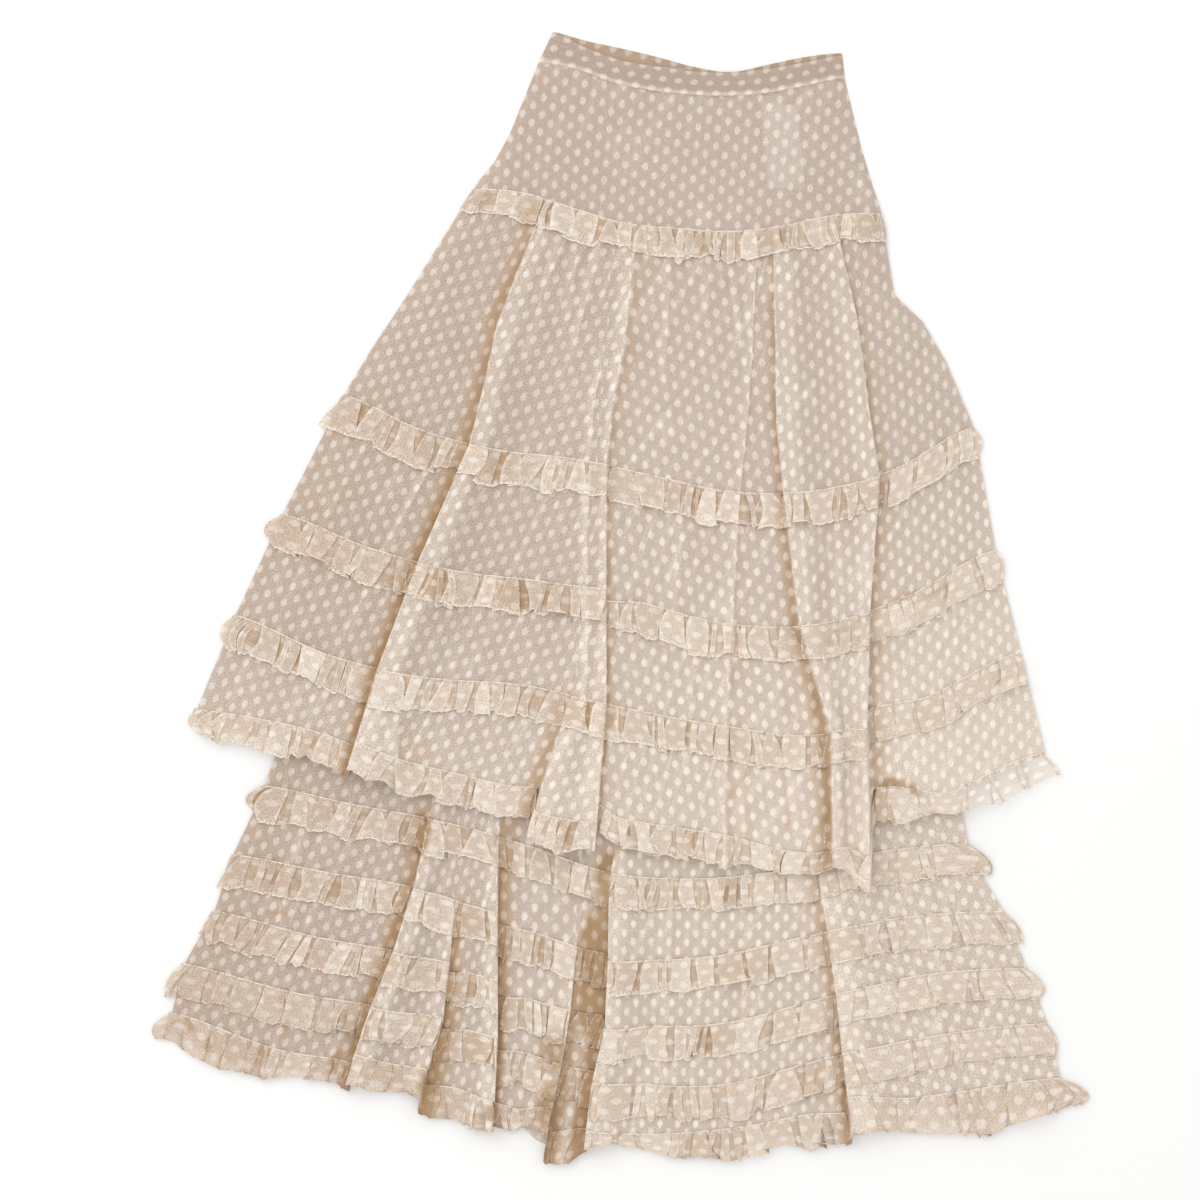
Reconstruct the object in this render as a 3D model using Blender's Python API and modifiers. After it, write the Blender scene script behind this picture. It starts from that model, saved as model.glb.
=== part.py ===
"""Tiered ruffle skirt in spotted net, laid out flat on its back.

X runs across the skirt, +Y from the hem to the waist, +Z up from the surface
that it lies on. The skirt has a waistband, a plain hip yoke, a wide overskirt
and a longer underskirt below it, each with a front and a back, and ten gathered
ruffle strips on each side. Every piece is one wall of cloth. Tables below are in
millimetres, the model is in metres.
"""
import math
from collections import namedtuple

import bpy
import bmesh
from mathutils import Vector

MM = 0.001

# ---- walls and gaps, in millimetres
WALL = 1.0              # cloth wall
BAND_WALL = 1.5         # waistband, two layers of net on a stay tape
GAP = 0.3               # between pieces that are sewn together or lie on each other
STEP = WALL + GAP       # from one layer to the next
RUFFLE_SEAT = 1.9       # ruffle's underside above its panel's underside
SEAM_COVER = 5.0        # how far a ruffle's sewn edge reaches up over its seam
RUFFLE_DROP = 34.0      # visible height of a ruffle strip
HEM_DROP = 30.0         # height of the two hem ruffles below their seam
RUFFLE_JUT = 0.011      # how far a ruffle's end sticks out, as a share of the width

# ---- blank labels, as top left corner, width and height; lean is how far a label
# slants to the right for each millimetre down, over is the wall that it lies on
Label = namedtuple("Label", "name left top wide tall lean over")
LABELS = (
    Label("care_label", 84.0, 533.0, 40.0, 89.0, 0.17, WALL),
    Label("waist_label", -20.0, 565.0, 24.0, 16.0, 0.0, BAND_WALL),
)

# ---- middle of the laid-out skirt, as the tables measure it
CENTRE_X = 16.35
CENTRE_Y = -3.23

# ---- levels of the outer skirt, top to bottom. left and right are the side
# edges; line is the height of the seam at each eighth of the width; back is the
# height of the back panel's underside; edge and inner are the heights of the
# front panel's underside at the side and further in, and ease is the share of
# the width between the two.
Level = namedtuple("Level", "name left right line back edge inner ease")
OUTER = (
    Level("waist_top", -137, 165, (588, 574, 564, 561, 559, 561, 568, 578, 588), 0.0, 1.8, 3.0, 0.03),
    Level("waist_seam", -150, 171, (555, 551, 540, 535, 534, 536, 542, 553, 564), 0.0, 1.8, 4.0, 0.03),
    Level("yoke_middle", -176, 194, (478, 472, 467, 463, 462, 465, 470, 483, 494), 0.0, 1.3, 4.8, 0.03),
    Level("yoke_lower", -190, 210, (447, 442, 432, 424, 423, 424, 431, 446, 453), 0.0, 1.3, 6.2, 0.03),
    Level("yoke_low", -203, 218, (428, 424, 414, 403, 402, 403, 412, 428, 434), 1.3, 2.6, 7.2, 0.03),
    Level("hip_seam", -209, 221, (417, 416, 404, 393, 392, 393, 402, 418, 425), 1.3, 2.6, 7.8, 0.03),
    Level("over_upper", -268, 240, (298, 284, 271, 264, 258, 256, 266, 295, 342), 1.3, 2.6, 8.6, 0.05),
    Level("over_middle", -298, 298, (244, 222, 208, 203, 195, 189, 197, 226, 276), 1.3, 2.6, 9.0, 0.055),
    Level("over_seam_1", -325, 333, (190, 160, 145, 142, 131, 121, 128, 157, 209), 1.3, 2.6, 9.4, 0.06),
    Level("over_seam_2", -380, 369, (60, 32, 15, 11, -1, -17, -12, 24, 82), 1.3, 2.6, 10.4, 0.07),
    Level("over_seam_3", -421, 404, (-50, -84, -99, -99, -114, -124, -126, -82, -23), 1.3, 2.6, 11.4, 0.075),
    Level("over_hem", -455, 438, (-152, -165, -188, -206, -229, -238, -248, -186, -142), 1.3, 2.6, 12.5, 0.08),
)
# the back's waist stands a little higher than the front's, and its hem hangs a
# little shorter, without the front's dropped pleat
BACK_LINES = {
    "waist_top": (588, 577, 573, 571, 564, 561, 570, 580, 588),
    "over_hem": (-152, -164, -184, -199, -214, -216, -204, -174, -142),
}

# ---- levels of the underskirt
INNER = (
    Level("under_top", -195, 205, (410, 405, 395, 386, 385, 386, 395, 408, 414), 2.6, 3.9, 5.2, 0.05),
    Level("under_upper", -285, 285, (92, 88, 72, 62, 55, 56, 65, 82, 96), 2.6, 3.9, 5.2, 0.05),
    Level("under_seam_1", -378, 371, (-226, -238, -248, -266, -288, -287, -270, -244, -228), 2.6, 3.9, 5.2, 0.05),
    Level("under_low_1", -388, 381, (-256, -268, -280, -300, -322, -321, -302, -274, -258), 1.3, 2.6, 4.9, 0.05),
    Level("under_seam_2", -405, 405, (-301, -312, -322, -352, -376, -368, -338, -310, -296), 1.3, 2.6, 4.5, 0.05),
    Level("under_seam_3", -420, 434, (-362, -380, -392, -423, -444, -438, -403, -369, -354), 1.3, 2.6, 4.5, 0.05),
    Level("under_seam_4", -447, 463, (-420, -440, -451, -478, -504, -502, -464, -431, -410), 1.3, 2.6, 4.5, 0.05),
    Level("under_hem", -450, 485, (-472, -502, -510, -540, -560, -548, -517, -491, -466), 1.3, 2.6, 4.5, 0.05),
)

# ---- largest folds, left to right. crest is the fold's x on each level from the
# first folded one to the hem; low and high are its lift at those two; steep and
# soft are the widths of its two sides, as shares of the skirt's width; side is -1
# where the steep side faces left, 1 where it faces right; step moves the hem
# line up on the right of the crest and down on its left.
Fold = namedtuple("Fold", "name crest low high steep soft side step")
OUTER_FOLDS = (
    Fold("left_gore", (-129, -154, -171, -183, -231, -261, -273), 2.0, 12.0, 0.014, 0.060, -1, 0),
    Fold("centre_left", (-40, -40, -47, -54, -54, -48, -51), 2.0, 12.0, 0.014, 0.060, 1, 0),
    Fold("centre_right", (88, 91, 95, 95, 100, 101, 105), 1.0, 4.0, 0.014, 0.040, 1, 0),
    Fold("right_gore", (111, 118, 130, 144, 172, 190, 210), 3.0, 11.0, 0.014, 0.030, -1, 0),
    Fold("right_pleat", (170, 189, 212, 234, 240, 245, 251), 3.0, 12.0, 0.014, 0.025, 1, 25),
)
INNER_FOLDS = (
    Fold("cascade_left", (-197, -200, -206, -230, -246, -263), 4.0, 12.0, 0.015, 0.025, -1, 0),
    Fold("cascade_gap", (-164, -166, -169, -172, -175, -186), 1.0, 9.0, 0.012, 0.020, 1, 0),
    Fold("cascade_right", (-133, -131, -128, -126, -122, -117), 4.0, 11.0, 0.015, 0.015, 1, 0),
    Fold("lap", (-47, -46, -44, -43, -44, -48), 1.0, 8.0, 0.012, 0.020, -1, -10),
    Fold("centre_gap", (-11, -12, -14, -7, -10, -7), 4.0, 11.0, 0.015, 0.050, -1, 0),
    Fold("right_ridge", (219, 222, 228, 244, 258, 267), 4.0, 11.0, 0.015, 0.060, -1, 0),
)

# ---- ruffle strips: the level that each is sewn at, and its number of waves
Ruffle = namedtuple("Ruffle", "name level waves drop")
OUTER_RUFFLES = (
    Ruffle("ruffle_hip", "hip_seam", 11, RUFFLE_DROP - 3.0),
    Ruffle("ruffle_over_1", "over_seam_1", 16, RUFFLE_DROP),
    Ruffle("ruffle_over_2", "over_seam_2", 18, RUFFLE_DROP),
    Ruffle("ruffle_over_3", "over_seam_3", 20, RUFFLE_DROP),
    Ruffle("ruffle_over_hem", "over_hem", 21, HEM_DROP),
)
INNER_RUFFLES = (
    Ruffle("ruffle_under_1", "under_seam_1", 17, RUFFLE_DROP),
    Ruffle("ruffle_under_2", "under_seam_2", 19, RUFFLE_DROP),
    Ruffle("ruffle_under_3", "under_seam_3", 20, RUFFLE_DROP),
    Ruffle("ruffle_under_4", "under_seam_4", 22, RUFFLE_DROP),
    Ruffle("ruffle_under_hem", "under_hem", 23, HEM_DROP),
)
WAVE_AT_SEAM = 1.6      # wave height along the sewn edge
WAVE_AT_EDGE = 5.0      # wave height along the free edge
WAVE_STEPS = 6          # cloth segments in a wave
BACK_COLUMNS = 12       # segments across a back panel, which lies flat


# ---------------------------------------------------------------- cloth surface
def spline(values, share):
    """Smooth curve through evenly spaced values."""
    last = len(values) - 1
    place = min(max(share, 0.0), 1.0) * last
    i = min(int(place), last - 1)
    t = place - i
    a = values[max(i - 1, 0)]
    b, c = values[i], values[i + 1]
    d = values[min(i + 2, last)]
    bend = (2 * a - 5 * b + 4 * c - d) * t * t + (3 * b - a - 3 * c + d) * t * t * t
    return b + 0.5 * ((c - a) * t + bend)


def mix(a, b, t):
    return a + (b - a) * t


def smooth(t):
    t = min(max(t, 0.0), 1.0)
    return t * t * (3 - 2 * t)


class Cloth:
    """One tier of the skirt: its levels, its folds and the columns of its grid.

    A column keeps the same number w on every level and follows the folds, so a
    crest is a column of the grid all the way down.
    """

    def __init__(self, levels, folds, first_folded):
        self.levels = levels
        self.folds = folds
        self.names = [level.name for level in levels]
        self.first = self.names.index(first_folded)
        self.homes = [self.home(fold) for fold in folds]
        self.columns = self.fold_columns()

    def home(self, fold):
        """A fold's own column: the middle of its places across the width."""
        shares = [self.share(fold, k) for k in range(self.first, len(self.levels))]
        return sum(shares) / len(shares)

    def share(self, fold, k):
        """Where a fold lies on level number k, as a share of the width."""
        level = self.levels[max(k, self.first)]
        x = fold.crest[max(k - self.first, 0)]
        return (x - level.left) / (level.right - level.left)

    def fold_columns(self):
        keys = {0.0, 0.012, 0.03, 0.055, 0.08, 0.92, 0.945, 0.97, 0.988, 1.0}
        for fold, home in zip(self.folds, self.homes):
            for part in (0.0, 0.5, 1.0):
                keys.add(home + fold.side * fold.steep * part)
                keys.add(home - fold.side * fold.soft * part)
        keys = sorted(keys)
        columns = [keys[0]]
        for key in keys[1:]:
            gap = key - columns[-1]
            if gap < 0.004:
                continue
            pieces = math.ceil(gap / 0.05)
            for i in range(1, pieces + 1):
                columns.append(columns[-1] + gap / pieces)
        columns[-1] = 1.0
        return columns

    def depth(self, k):
        """0 down to the first folded level, 1 at the hem."""
        return max((k - self.first) / (len(self.levels) - 1 - self.first), 0.0)

    def across(self, k, w):
        """Share of the width for column w: the columns lean with the folds."""
        left_w, left_share = 0.0, 0.0
        right_w, right_share = 1.0, 1.0
        for fold, home in zip(self.folds, self.homes):
            if w < home:
                right_w, right_share = home, self.share(fold, k)
                break
            left_w, left_share = home, self.share(fold, k)
        return mix(left_share, right_share, (w - left_w) / (right_w - left_w))

    def hem_step(self, k, w):
        """The hem line jumps where a deep pleat hides part of it."""
        drop = 0.0
        fade_up = max(self.depth(k) * 4 - 3, 0.0)
        for fold, home in zip(self.folds, self.homes):
            middle = home + 0.5 * fold.steep
            turn = min(max((w - middle) / (0.5 * fold.steep), -1.0), 1.0)
            drop += fold.step * fade_up * turn * math.exp(-((w - middle) / 0.05) ** 2)
        return drop

    def plan(self, v, w, lines=None):
        """X and Y of column w on whole level v, or between two levels.

        lines gives the back its own seam heights on some levels.
        """
        i = min(int(v), len(self.levels) - 2)
        ends = []
        for k in (i, i + 1):
            level = self.levels[k]
            share = self.across(k, w)
            x = mix(level.left, level.right, share)
            if lines is None:
                y = spline(level.line, share) + self.hem_step(k, w)
            else:
                y = spline(lines.get(level.name, level.line), share)
            ends.append(Vector((x, y)))
        return ends[0].lerp(ends[1], v - i)

    def front_on_level(self, k, w):
        """Underside of the front panel on level number k."""
        level = self.levels[k]
        inside = min(w, 1.0 - w)
        height = mix(level.edge, level.inner, smooth(inside / level.ease))
        if k >= self.first:
            height += sum(self.lift(i, k, w) for i in range(len(self.folds)))
        return height

    def lift(self, i, k, w):
        """A crest that rises on its steep side and runs out on its soft side."""
        fold = self.folds[i]
        offset = (w - self.homes[i]) * fold.side
        width = fold.steep if offset > 0 else fold.soft
        return mix(fold.low, fold.high, self.depth(k)) * smooth(1 - abs(offset) / width)

    def between(self, heights_on_level, v, w):
        """Height of the panel's own facets at any v and w."""
        i = min(int(v), len(self.levels) - 2)
        w = min(max(w, 0.0), 1.0)
        j = 1
        while self.columns[j] < w:
            j += 1
        a, b = self.columns[j - 1], self.columns[j]
        t = (w - a) / (b - a)
        upper = mix(heights_on_level(i, a), heights_on_level(i, b), t)
        lower = mix(heights_on_level(i + 1, a), heights_on_level(i + 1, b), t)
        return mix(upper, lower, min(v - i, 1.0))

    def front(self, v, w):
        return self.between(self.front_on_level, v, w)

    def back(self, v, w):
        return self.between(lambda k, _: self.levels[k].back, v, w)


# ------------------------------------------------------------------- materials
def material(name, colour, roughness):
    made = bpy.data.materials.new(name)
    made.use_nodes = True
    made.diffuse_color = (*colour, 1.0)
    shader = made.node_tree.nodes["Principled BSDF"]
    shader.inputs["Base Color"].default_value = (*colour, 1.0)
    shader.inputs["Roughness"].default_value = roughness
    shader.inputs["Metallic"].default_value = 0.0
    return made


# ----------------------------------------------------------------- sheet maker
def sheet(name, columns, rows, place, wall, finish, collection):
    """A wall of cloth: a grid whose points go where place(row, column) says.

    The grid is the cloth's underside, and Solidify builds the wall above it.
    """
    bm = bmesh.new()
    across, down = len(columns) - 1, len(rows) - 1
    bmesh.ops.create_grid(bm, x_segments=across, y_segments=down, size=1.0)
    for vert in bm.verts:
        i = round((vert.co.x + 1) / 2 * across)
        j = round((1 - vert.co.y) / 2 * down)
        x, y, z = place(rows[j], columns[i])
        vert.co = Vector((x - CENTRE_X, y - CENTRE_Y, z)) * MM
    mesh = bpy.data.meshes.new(name)
    bm.to_mesh(mesh)
    bm.free()
    mesh.materials.append(finish)
    piece = bpy.data.objects.new(name, mesh)
    collection.objects.link(piece)
    thicken = piece.modifiers.new("wall", "SOLIDIFY")
    thicken.thickness = wall * MM
    thicken.offset = 1.0
    return piece


def even(count, first=0.0, last=1.0):
    return [mix(first, last, i / count) for i in range(count + 1)]


# --------------------------------------------------------------------- panels
def front_panel(cloth, name, first, last, finish, collection, wall=WALL):
    """Front panel from one level to another; its seams stay a gap apart."""
    top, bottom = cloth.names.index(first), cloth.names.index(last)

    def place(row, w):
        spot = cloth.plan(row, w)
        if row == top:
            spot.y -= 0.5 * GAP
        elif row == bottom:
            spot.y += 0.5 * GAP
        return spot.x, spot.y, cloth.front(row, w)

    rows = list(range(top, bottom + 1))
    return sheet(name, cloth.columns, rows, place, wall, finish, collection)


def back_panel(cloth, name, first, last, finish, collection, lines, wall=WALL):
    """Back panel: the same outline as the front, lying flat on what is under it."""
    top, bottom = cloth.names.index(first), cloth.names.index(last)

    def place(row, w):
        spot = cloth.plan(row, w, lines)
        if row == top:
            spot.y -= 0.5 * GAP
        elif row == bottom:
            spot.y += 0.5 * GAP
        return spot.x, spot.y, cloth.back(row, w)

    rows = list(range(top, bottom + 1))
    return sheet(name, even(BACK_COLUMNS), rows, place, wall, finish, collection)


# --------------------------------------------------------------------- ruffles
def strip_spot(cloth, level, w, down, lines=None):
    """A point of a ruffle strip, down millimetres below its seam."""
    k = cloth.names.index(level)
    last = len(cloth.levels) - 1
    other = k + 1 if k < last else k - 1
    seam = cloth.plan(k, w, lines)
    run = cloth.plan(other, w, lines) - seam
    if k == last:
        run = -run
    length = run.length
    spot = seam + run * (down / length)
    v = k + down / length if k < last else min(k + down / length, float(last))
    return spot, v


def wave(ruffle, w):
    """Gathers of a strip, between 0 and 1, uneven in width and height."""
    turns = w * ruffle.waves + 0.16 * math.sin(2 * math.pi * w * ruffle.waves / 3.7)
    tall = 0.78 + 0.22 * math.sin(2 * math.pi * w * ruffle.waves / 2.3 + ruffle.waves)
    return tall * math.sqrt(0.5 - 0.5 * math.cos(2 * math.pi * turns))


def ruffle_columns(cloth, waves):
    """Wave columns, moved onto the panel's own columns wherever one is near."""
    steps = waves * WAVE_STEPS
    columns = even(steps, -RUFFLE_JUT, 1 + RUFFLE_JUT)
    pitch = 1 / steps
    kept = [w for w in columns if min(abs(w - c) for c in cloth.columns) > 0.5 * pitch]
    return sorted(kept + cloth.columns + [columns[0], columns[-1]])


def front_ruffle(cloth, ruffle, finish, collection):
    drops = (-SEAM_COVER, ruffle.drop)

    def place(down, w):
        spot, v = strip_spot(cloth, ruffle.level, w, down)
        tall = WAVE_AT_SEAM if down < 0 else WAVE_AT_EDGE
        height = cloth.front(v, w) + RUFFLE_SEAT + tall * wave(ruffle, w)
        return spot.x, spot.y, height

    columns = ruffle_columns(cloth, ruffle.waves)
    return sheet(ruffle.name + "_front", columns, drops, place, WALL, finish, collection)


def back_ruffle(cloth, ruffle, finish, collection, lines):
    """Between the back panel and the surface the strip lies pressed flat."""
    drops = (-SEAM_COVER, ruffle.drop)

    def place(down, w):
        spot, v = strip_spot(cloth, ruffle.level, w, down, lines)
        return spot.x, spot.y, cloth.back(v, w) - STEP

    columns = even(BACK_COLUMNS, -0.5 * RUFFLE_JUT, 1 + 0.5 * RUFFLE_JUT)
    return sheet(ruffle.name + "_back", columns, drops, place, WALL, finish, collection)


# ---------------------------------------------------------------------- labels
def label(spec, finish, collection):
    """A flat tape on the inside of the back, over a wall of the given thickness."""
    columns = (0.0, spec.wide)
    rows = (0.0, spec.tall)

    def place(down, across):
        return spec.left + across + spec.lean * down, spec.top - down, spec.over + GAP

    return sheet(spec.name, columns, rows, place, WALL, finish, collection)


def build():
    for old in list(bpy.data.objects):
        bpy.data.objects.remove(old, do_unlink=True)
    skirt = bpy.data.collections.new("tiered_ruffle_skirt")
    bpy.context.scene.collection.children.link(skirt)

    net = material("spotted_net", (0.66, 0.55, 0.46), 0.85)
    ruffle_net = material("ruffle_net", (0.72, 0.61, 0.51), 0.85)
    band = material("waistband_net", (0.62, 0.50, 0.41), 0.85)
    tape = material("label_tape", (0.80, 0.76, 0.72), 0.55)

    outer = Cloth(OUTER, OUTER_FOLDS, "hip_seam")
    inner = Cloth(INNER, INNER_FOLDS, "under_seam_1")

    front_panel(outer, "waistband_front", "waist_top", "waist_seam", band, skirt, BAND_WALL)
    back_panel(outer, "waistband_back", "waist_top", "waist_seam", band, skirt, BACK_LINES, BAND_WALL)
    front_panel(outer, "yoke_front", "waist_seam", "hip_seam", net, skirt)
    back_panel(outer, "yoke_back", "waist_seam", "hip_seam", net, skirt, BACK_LINES)
    front_panel(outer, "overskirt_front", "hip_seam", "over_hem", net, skirt)
    back_panel(outer, "overskirt_back", "hip_seam", "over_hem", net, skirt, BACK_LINES)
    front_panel(inner, "underskirt_front", "under_top", "under_hem", net, skirt)
    back_panel(inner, "underskirt_back", "under_top", "under_hem", net, skirt, {})
    for ruffle in OUTER_RUFFLES:
        front_ruffle(outer, ruffle, ruffle_net, skirt)
        back_ruffle(outer, ruffle, ruffle_net, skirt, BACK_LINES)
    for ruffle in INNER_RUFFLES:
        front_ruffle(inner, ruffle, ruffle_net, skirt)
        back_ruffle(inner, ruffle, ruffle_net, skirt, {})

    for spec in LABELS:
        label(spec, tape, skirt)


build()
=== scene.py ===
# %% [markdown]
# # A tiered ruffle skirt in spotted net
# A long skirt lies flat on its back. It is sewn from one see-through net with woven
# spots: a waistband, a plain hip yoke, a flared overskirt, a longer underskirt, and ten
# gathered ruffles, which are laid as plain strips on the hidden back. The rigid model of
# the skirt gives the frame, and every cloth below takes the place of one of its solids.

# %% Load the frame
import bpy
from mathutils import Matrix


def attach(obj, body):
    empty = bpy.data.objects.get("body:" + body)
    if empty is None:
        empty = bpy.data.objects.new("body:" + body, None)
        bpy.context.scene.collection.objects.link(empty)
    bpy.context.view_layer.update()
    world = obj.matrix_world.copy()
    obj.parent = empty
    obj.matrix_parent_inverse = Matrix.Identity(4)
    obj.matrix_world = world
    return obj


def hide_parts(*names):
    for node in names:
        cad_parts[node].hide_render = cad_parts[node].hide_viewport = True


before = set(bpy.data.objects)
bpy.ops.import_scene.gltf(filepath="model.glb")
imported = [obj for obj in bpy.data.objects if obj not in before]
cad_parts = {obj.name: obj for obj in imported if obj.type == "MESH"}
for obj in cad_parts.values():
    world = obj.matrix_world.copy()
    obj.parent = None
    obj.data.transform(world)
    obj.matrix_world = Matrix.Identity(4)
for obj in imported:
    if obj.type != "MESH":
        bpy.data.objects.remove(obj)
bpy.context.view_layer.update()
print("solids in the frame:", len(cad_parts))

# %% [markdown]
# ## Measuring tools
# The cutting tables are in millimetres with the waist up, and Blender works in metres, so
# one helper turns table places into Blender's. Whole arrays go through numpy at once,
# because a net with a hundred thousand points is too slow to place one by one.

# %% Units and small curves
import math
from collections import namedtuple

import bmesh
import bpy
import numpy as np
from mathutils import Vector

MM = 0.001
CENTRE = np.array((16.35, -3.23))      # middle of the laid-out skirt in the tables
SHEER = 0.5                            # a net lies in the middle of its 1 mm solid


def mix(a, b, t):
    return a + (b - a) * t


def smooth(t):
    t = np.clip(t, 0.0, 1.0)
    return t * t * (3 - 2 * t)


def spline(values, share):
    """Smooth curve through evenly spaced values."""
    values = np.asarray(values, float)
    last = len(values) - 1
    place = np.clip(share, 0.0, 1.0) * last
    i = np.minimum(place.astype(int), last - 1)
    t = place - i
    a, b = values[np.maximum(i - 1, 0)], values[i]
    c, d = values[i + 1], values[np.minimum(i + 2, last)]
    square, cube = 2 * a - 5 * b + 4 * c - d, 3 * b - a - 3 * c + d
    return b + 0.5 * ((c - a) * t + square * t ** 2 + cube * t ** 3)


def ripple(x, seed, longest=90.0, count=4):
    """A smooth uneven wave along x in millimetres, between about -1 and 1."""
    rng = np.random.default_rng(seed)
    total = np.zeros_like(x, dtype=float)
    for i in range(count):
        length = longest / (1.7 ** i) * rng.uniform(0.85, 1.15)
        total += np.sin(2 * math.pi * (x / length + rng.uniform())) / (1.3 ** i)
    return total / 2.2


print("one table millimetre is", MM, "m, middle of the skirt", CENTRE)


# %% [markdown]
# ## Levels of the cloth
# A level is a line straight across the skirt, such as the waist or a seam. Each row below
# gives its two side edges and its height at every eighth of the width. Then come how
# high the back lies above the table, the front at its edges and the front inside, and in
# what share of the width the front rises. A skirt is just the surface between levels,
# and a point of it is named by its level and its share of the width.

# %% Level tables
Level = namedtuple("Level", "name left right line back edge inner ease")
OUTER = tuple(Level(*row) for row in (
    ("waist_top", -139, 166, (588, 574, 564, 561, 559, 561, 568, 578, 588), 0.0, 1.8, 3.0, 0.03),
    ("waist_seam", -152, 171, (555, 551, 540, 535, 534, 536, 542, 553, 564), 0.0, 1.8, 4.0, 0.03),
    ("yoke_middle", -176, 194, (478, 472, 467, 463, 462, 465, 470, 483, 494), 0.0, 1.3, 4.8, 0.03),
    ("yoke_lower", -190, 210, (447, 442, 432, 424, 423, 424, 431, 446, 453), 0.0, 1.3, 6.2, 0.03),
    ("yoke_low", -203, 218, (428, 424, 414, 403, 402, 403, 412, 428, 434), 1.3, 2.6, 7.2, 0.03),
    ("hip_seam", -209, 221, (417, 416, 404, 393, 392, 393, 402, 418, 425), 1.3, 2.6, 7.8, 0.03),
    ("over_upper", -271, 241, (298, 284, 271, 264, 258, 256, 266, 295, 342), 1.3, 2.6, 8.6, 0.05),
    ("over_curve", -283, 273, (276, 259, 246, 240, 233, 229, 238, 267, 316), 1.3, 2.6, 8.8, 0.052),
    ("over_middle", -301, 301, (244, 222, 208, 203, 195, 189, 197, 226, 276), 1.3, 2.6, 9.0, 0.055),
    ("over_seam_1", -328, 336, (190, 160, 145, 142, 131, 121, 128, 157, 209), 1.3, 2.6, 9.4, 0.06),
    ("over_seam_2", -382, 369, (60, 32, 15, 11, -1, -17, -12, 24, 82), 1.3, 2.6, 10.4, 0.07),
    ("over_seam_3", -423, 404, (-50, -84, -99, -99, -114, -124, -126, -82, -23), 1.3, 2.6, 11.4, 0.075),
    ("over_hem", -455, 438, (-152, -162, -188, -206, -229, -238, -248, -184, -126), 1.3, 2.6, 12.5, 0.08),
))
BACK_LINES = {                          # where the back's edges differ from the front's
    "waist_top": (589, 582, 577, 571, 564, 562, 573, 584, 591),
    "over_hem": (-150, -160, -184, -199, -214, -216, -200, -162, -128),
}
INNER = tuple(Level(*row) for row in (
    ("under_top", -195, 205, (410, 405, 395, 386, 385, 386, 395, 408, 414), 2.6, 3.9, 5.2, 0.05),
    ("under_upper", -290, 285, (92, 88, 72, 62, 55, 56, 65, 82, 96), 2.6, 3.9, 5.2, 0.05),
    ("under_seam_1", -378, 364, (-226, -238, -248, -266, -288, -287, -270, -244, -228), 2.6, 3.9, 5.2, 0.05),
    ("under_low_1", -388, 381, (-256, -268, -280, -300, -322, -321, -302, -274, -258), 1.3, 2.6, 4.9, 0.05),
    ("under_seam_2", -405, 408, (-301, -312, -322, -352, -376, -368, -338, -310, -296), 1.3, 2.6, 4.5, 0.05),
    ("under_seam_3", -420, 437, (-362, -380, -392, -423, -444, -438, -403, -369, -354), 1.3, 2.6, 4.5, 0.05),
    ("under_seam_4", -447, 463, (-420, -440, -451, -478, -504, -502, -464, -431, -410), 1.3, 2.6, 4.5, 0.05),
    ("under_hem", -456, 482, (-472, -502, -510, -540, -560, -548, -517, -491, -466), 1.3, 2.6, 4.5, 0.05),
))
print("levels:", len(OUTER), "on the overskirt,", len(INNER), "on the underskirt")

# %% [markdown]
# ## Folds and creases
# A flared skirt that is laid flat has more cloth at its hem than the table has room for,
# so it gathers into a few long folds. A fold here is a crest that runs down the skirt,
# with a soft side and a steep wall. The crest is pushed sideways over its own wall, as
# a real fold laps. The net is painted lighter on the crest, where it is doubled and lit,
# and painted browner with shade beside the wall, where light hardly reaches. A crease is
# a small fold that doesn't lap, and a tuck is a short soft hollow or pouch. All places
# and sizes are in millimetres.

# %% Fold tables
Fold = namedtuple("Fold", "name side low high band soft wall lap light dark path")
OUTER_FOLDS = tuple(Fold(*row) for row in (
    ("left_gore", -1, 2.0, 11.0, 12, 40, 6, 9, 0.6, 1.2,
     ((-129, 411), (-146, 376), (-167, 282), (-183, 155), (-205, 89), (-231, 12), (-261, -97),
      (-275, -170), (-279, -196))),
    ("flare", -1, 0.2, 9.0, 5, 24, 6, 9, 0.45, 0.9,
     ((-58, -92), (-61, -118), (-76, -180), (-91, -245))),
    ("centre_left", 1, 2.0, 8.0, 4, 40, 8, 4, 0.7, 0.85,
     ((-37, 392), (-35, 362), (-36, 322), (-39, 278), (-48, 207), (-50, 133), (-46, 68), (-41, 15),
      (-35, -59), (-28, -139), (-31, -240))),
    ("centre_right", 1, 0.8, 4.0, 1, 20, 6, 2, 0.5, 0.35,
     ((91, 398), (93, 359), (96, 246), (95, 149), (92, 85), (96, -18), (98, -124), (106, -244))),
    ("right_gore", -1, 2.5, 10.0, 10, 24, 6, 6, 0.55, 0.95,
     ((110, 402), (114, 369), (126, 248), (130, 205), (140, 142), (156, 86), (174, -14), (206, -52),
      (212, -85), (219, -132), (226, -193), (230, -256))),
    ("right_pleat", 1, 2.5, 11.0, 9, 22, 6, 8, 0.5, 0.6,
     ((167, 420), (178, 383), (189, 352), (203, 301), (215, 234), (235, 148), (236, 70), (234, -34),
      (241, -120), (255, -262))),
))
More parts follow.
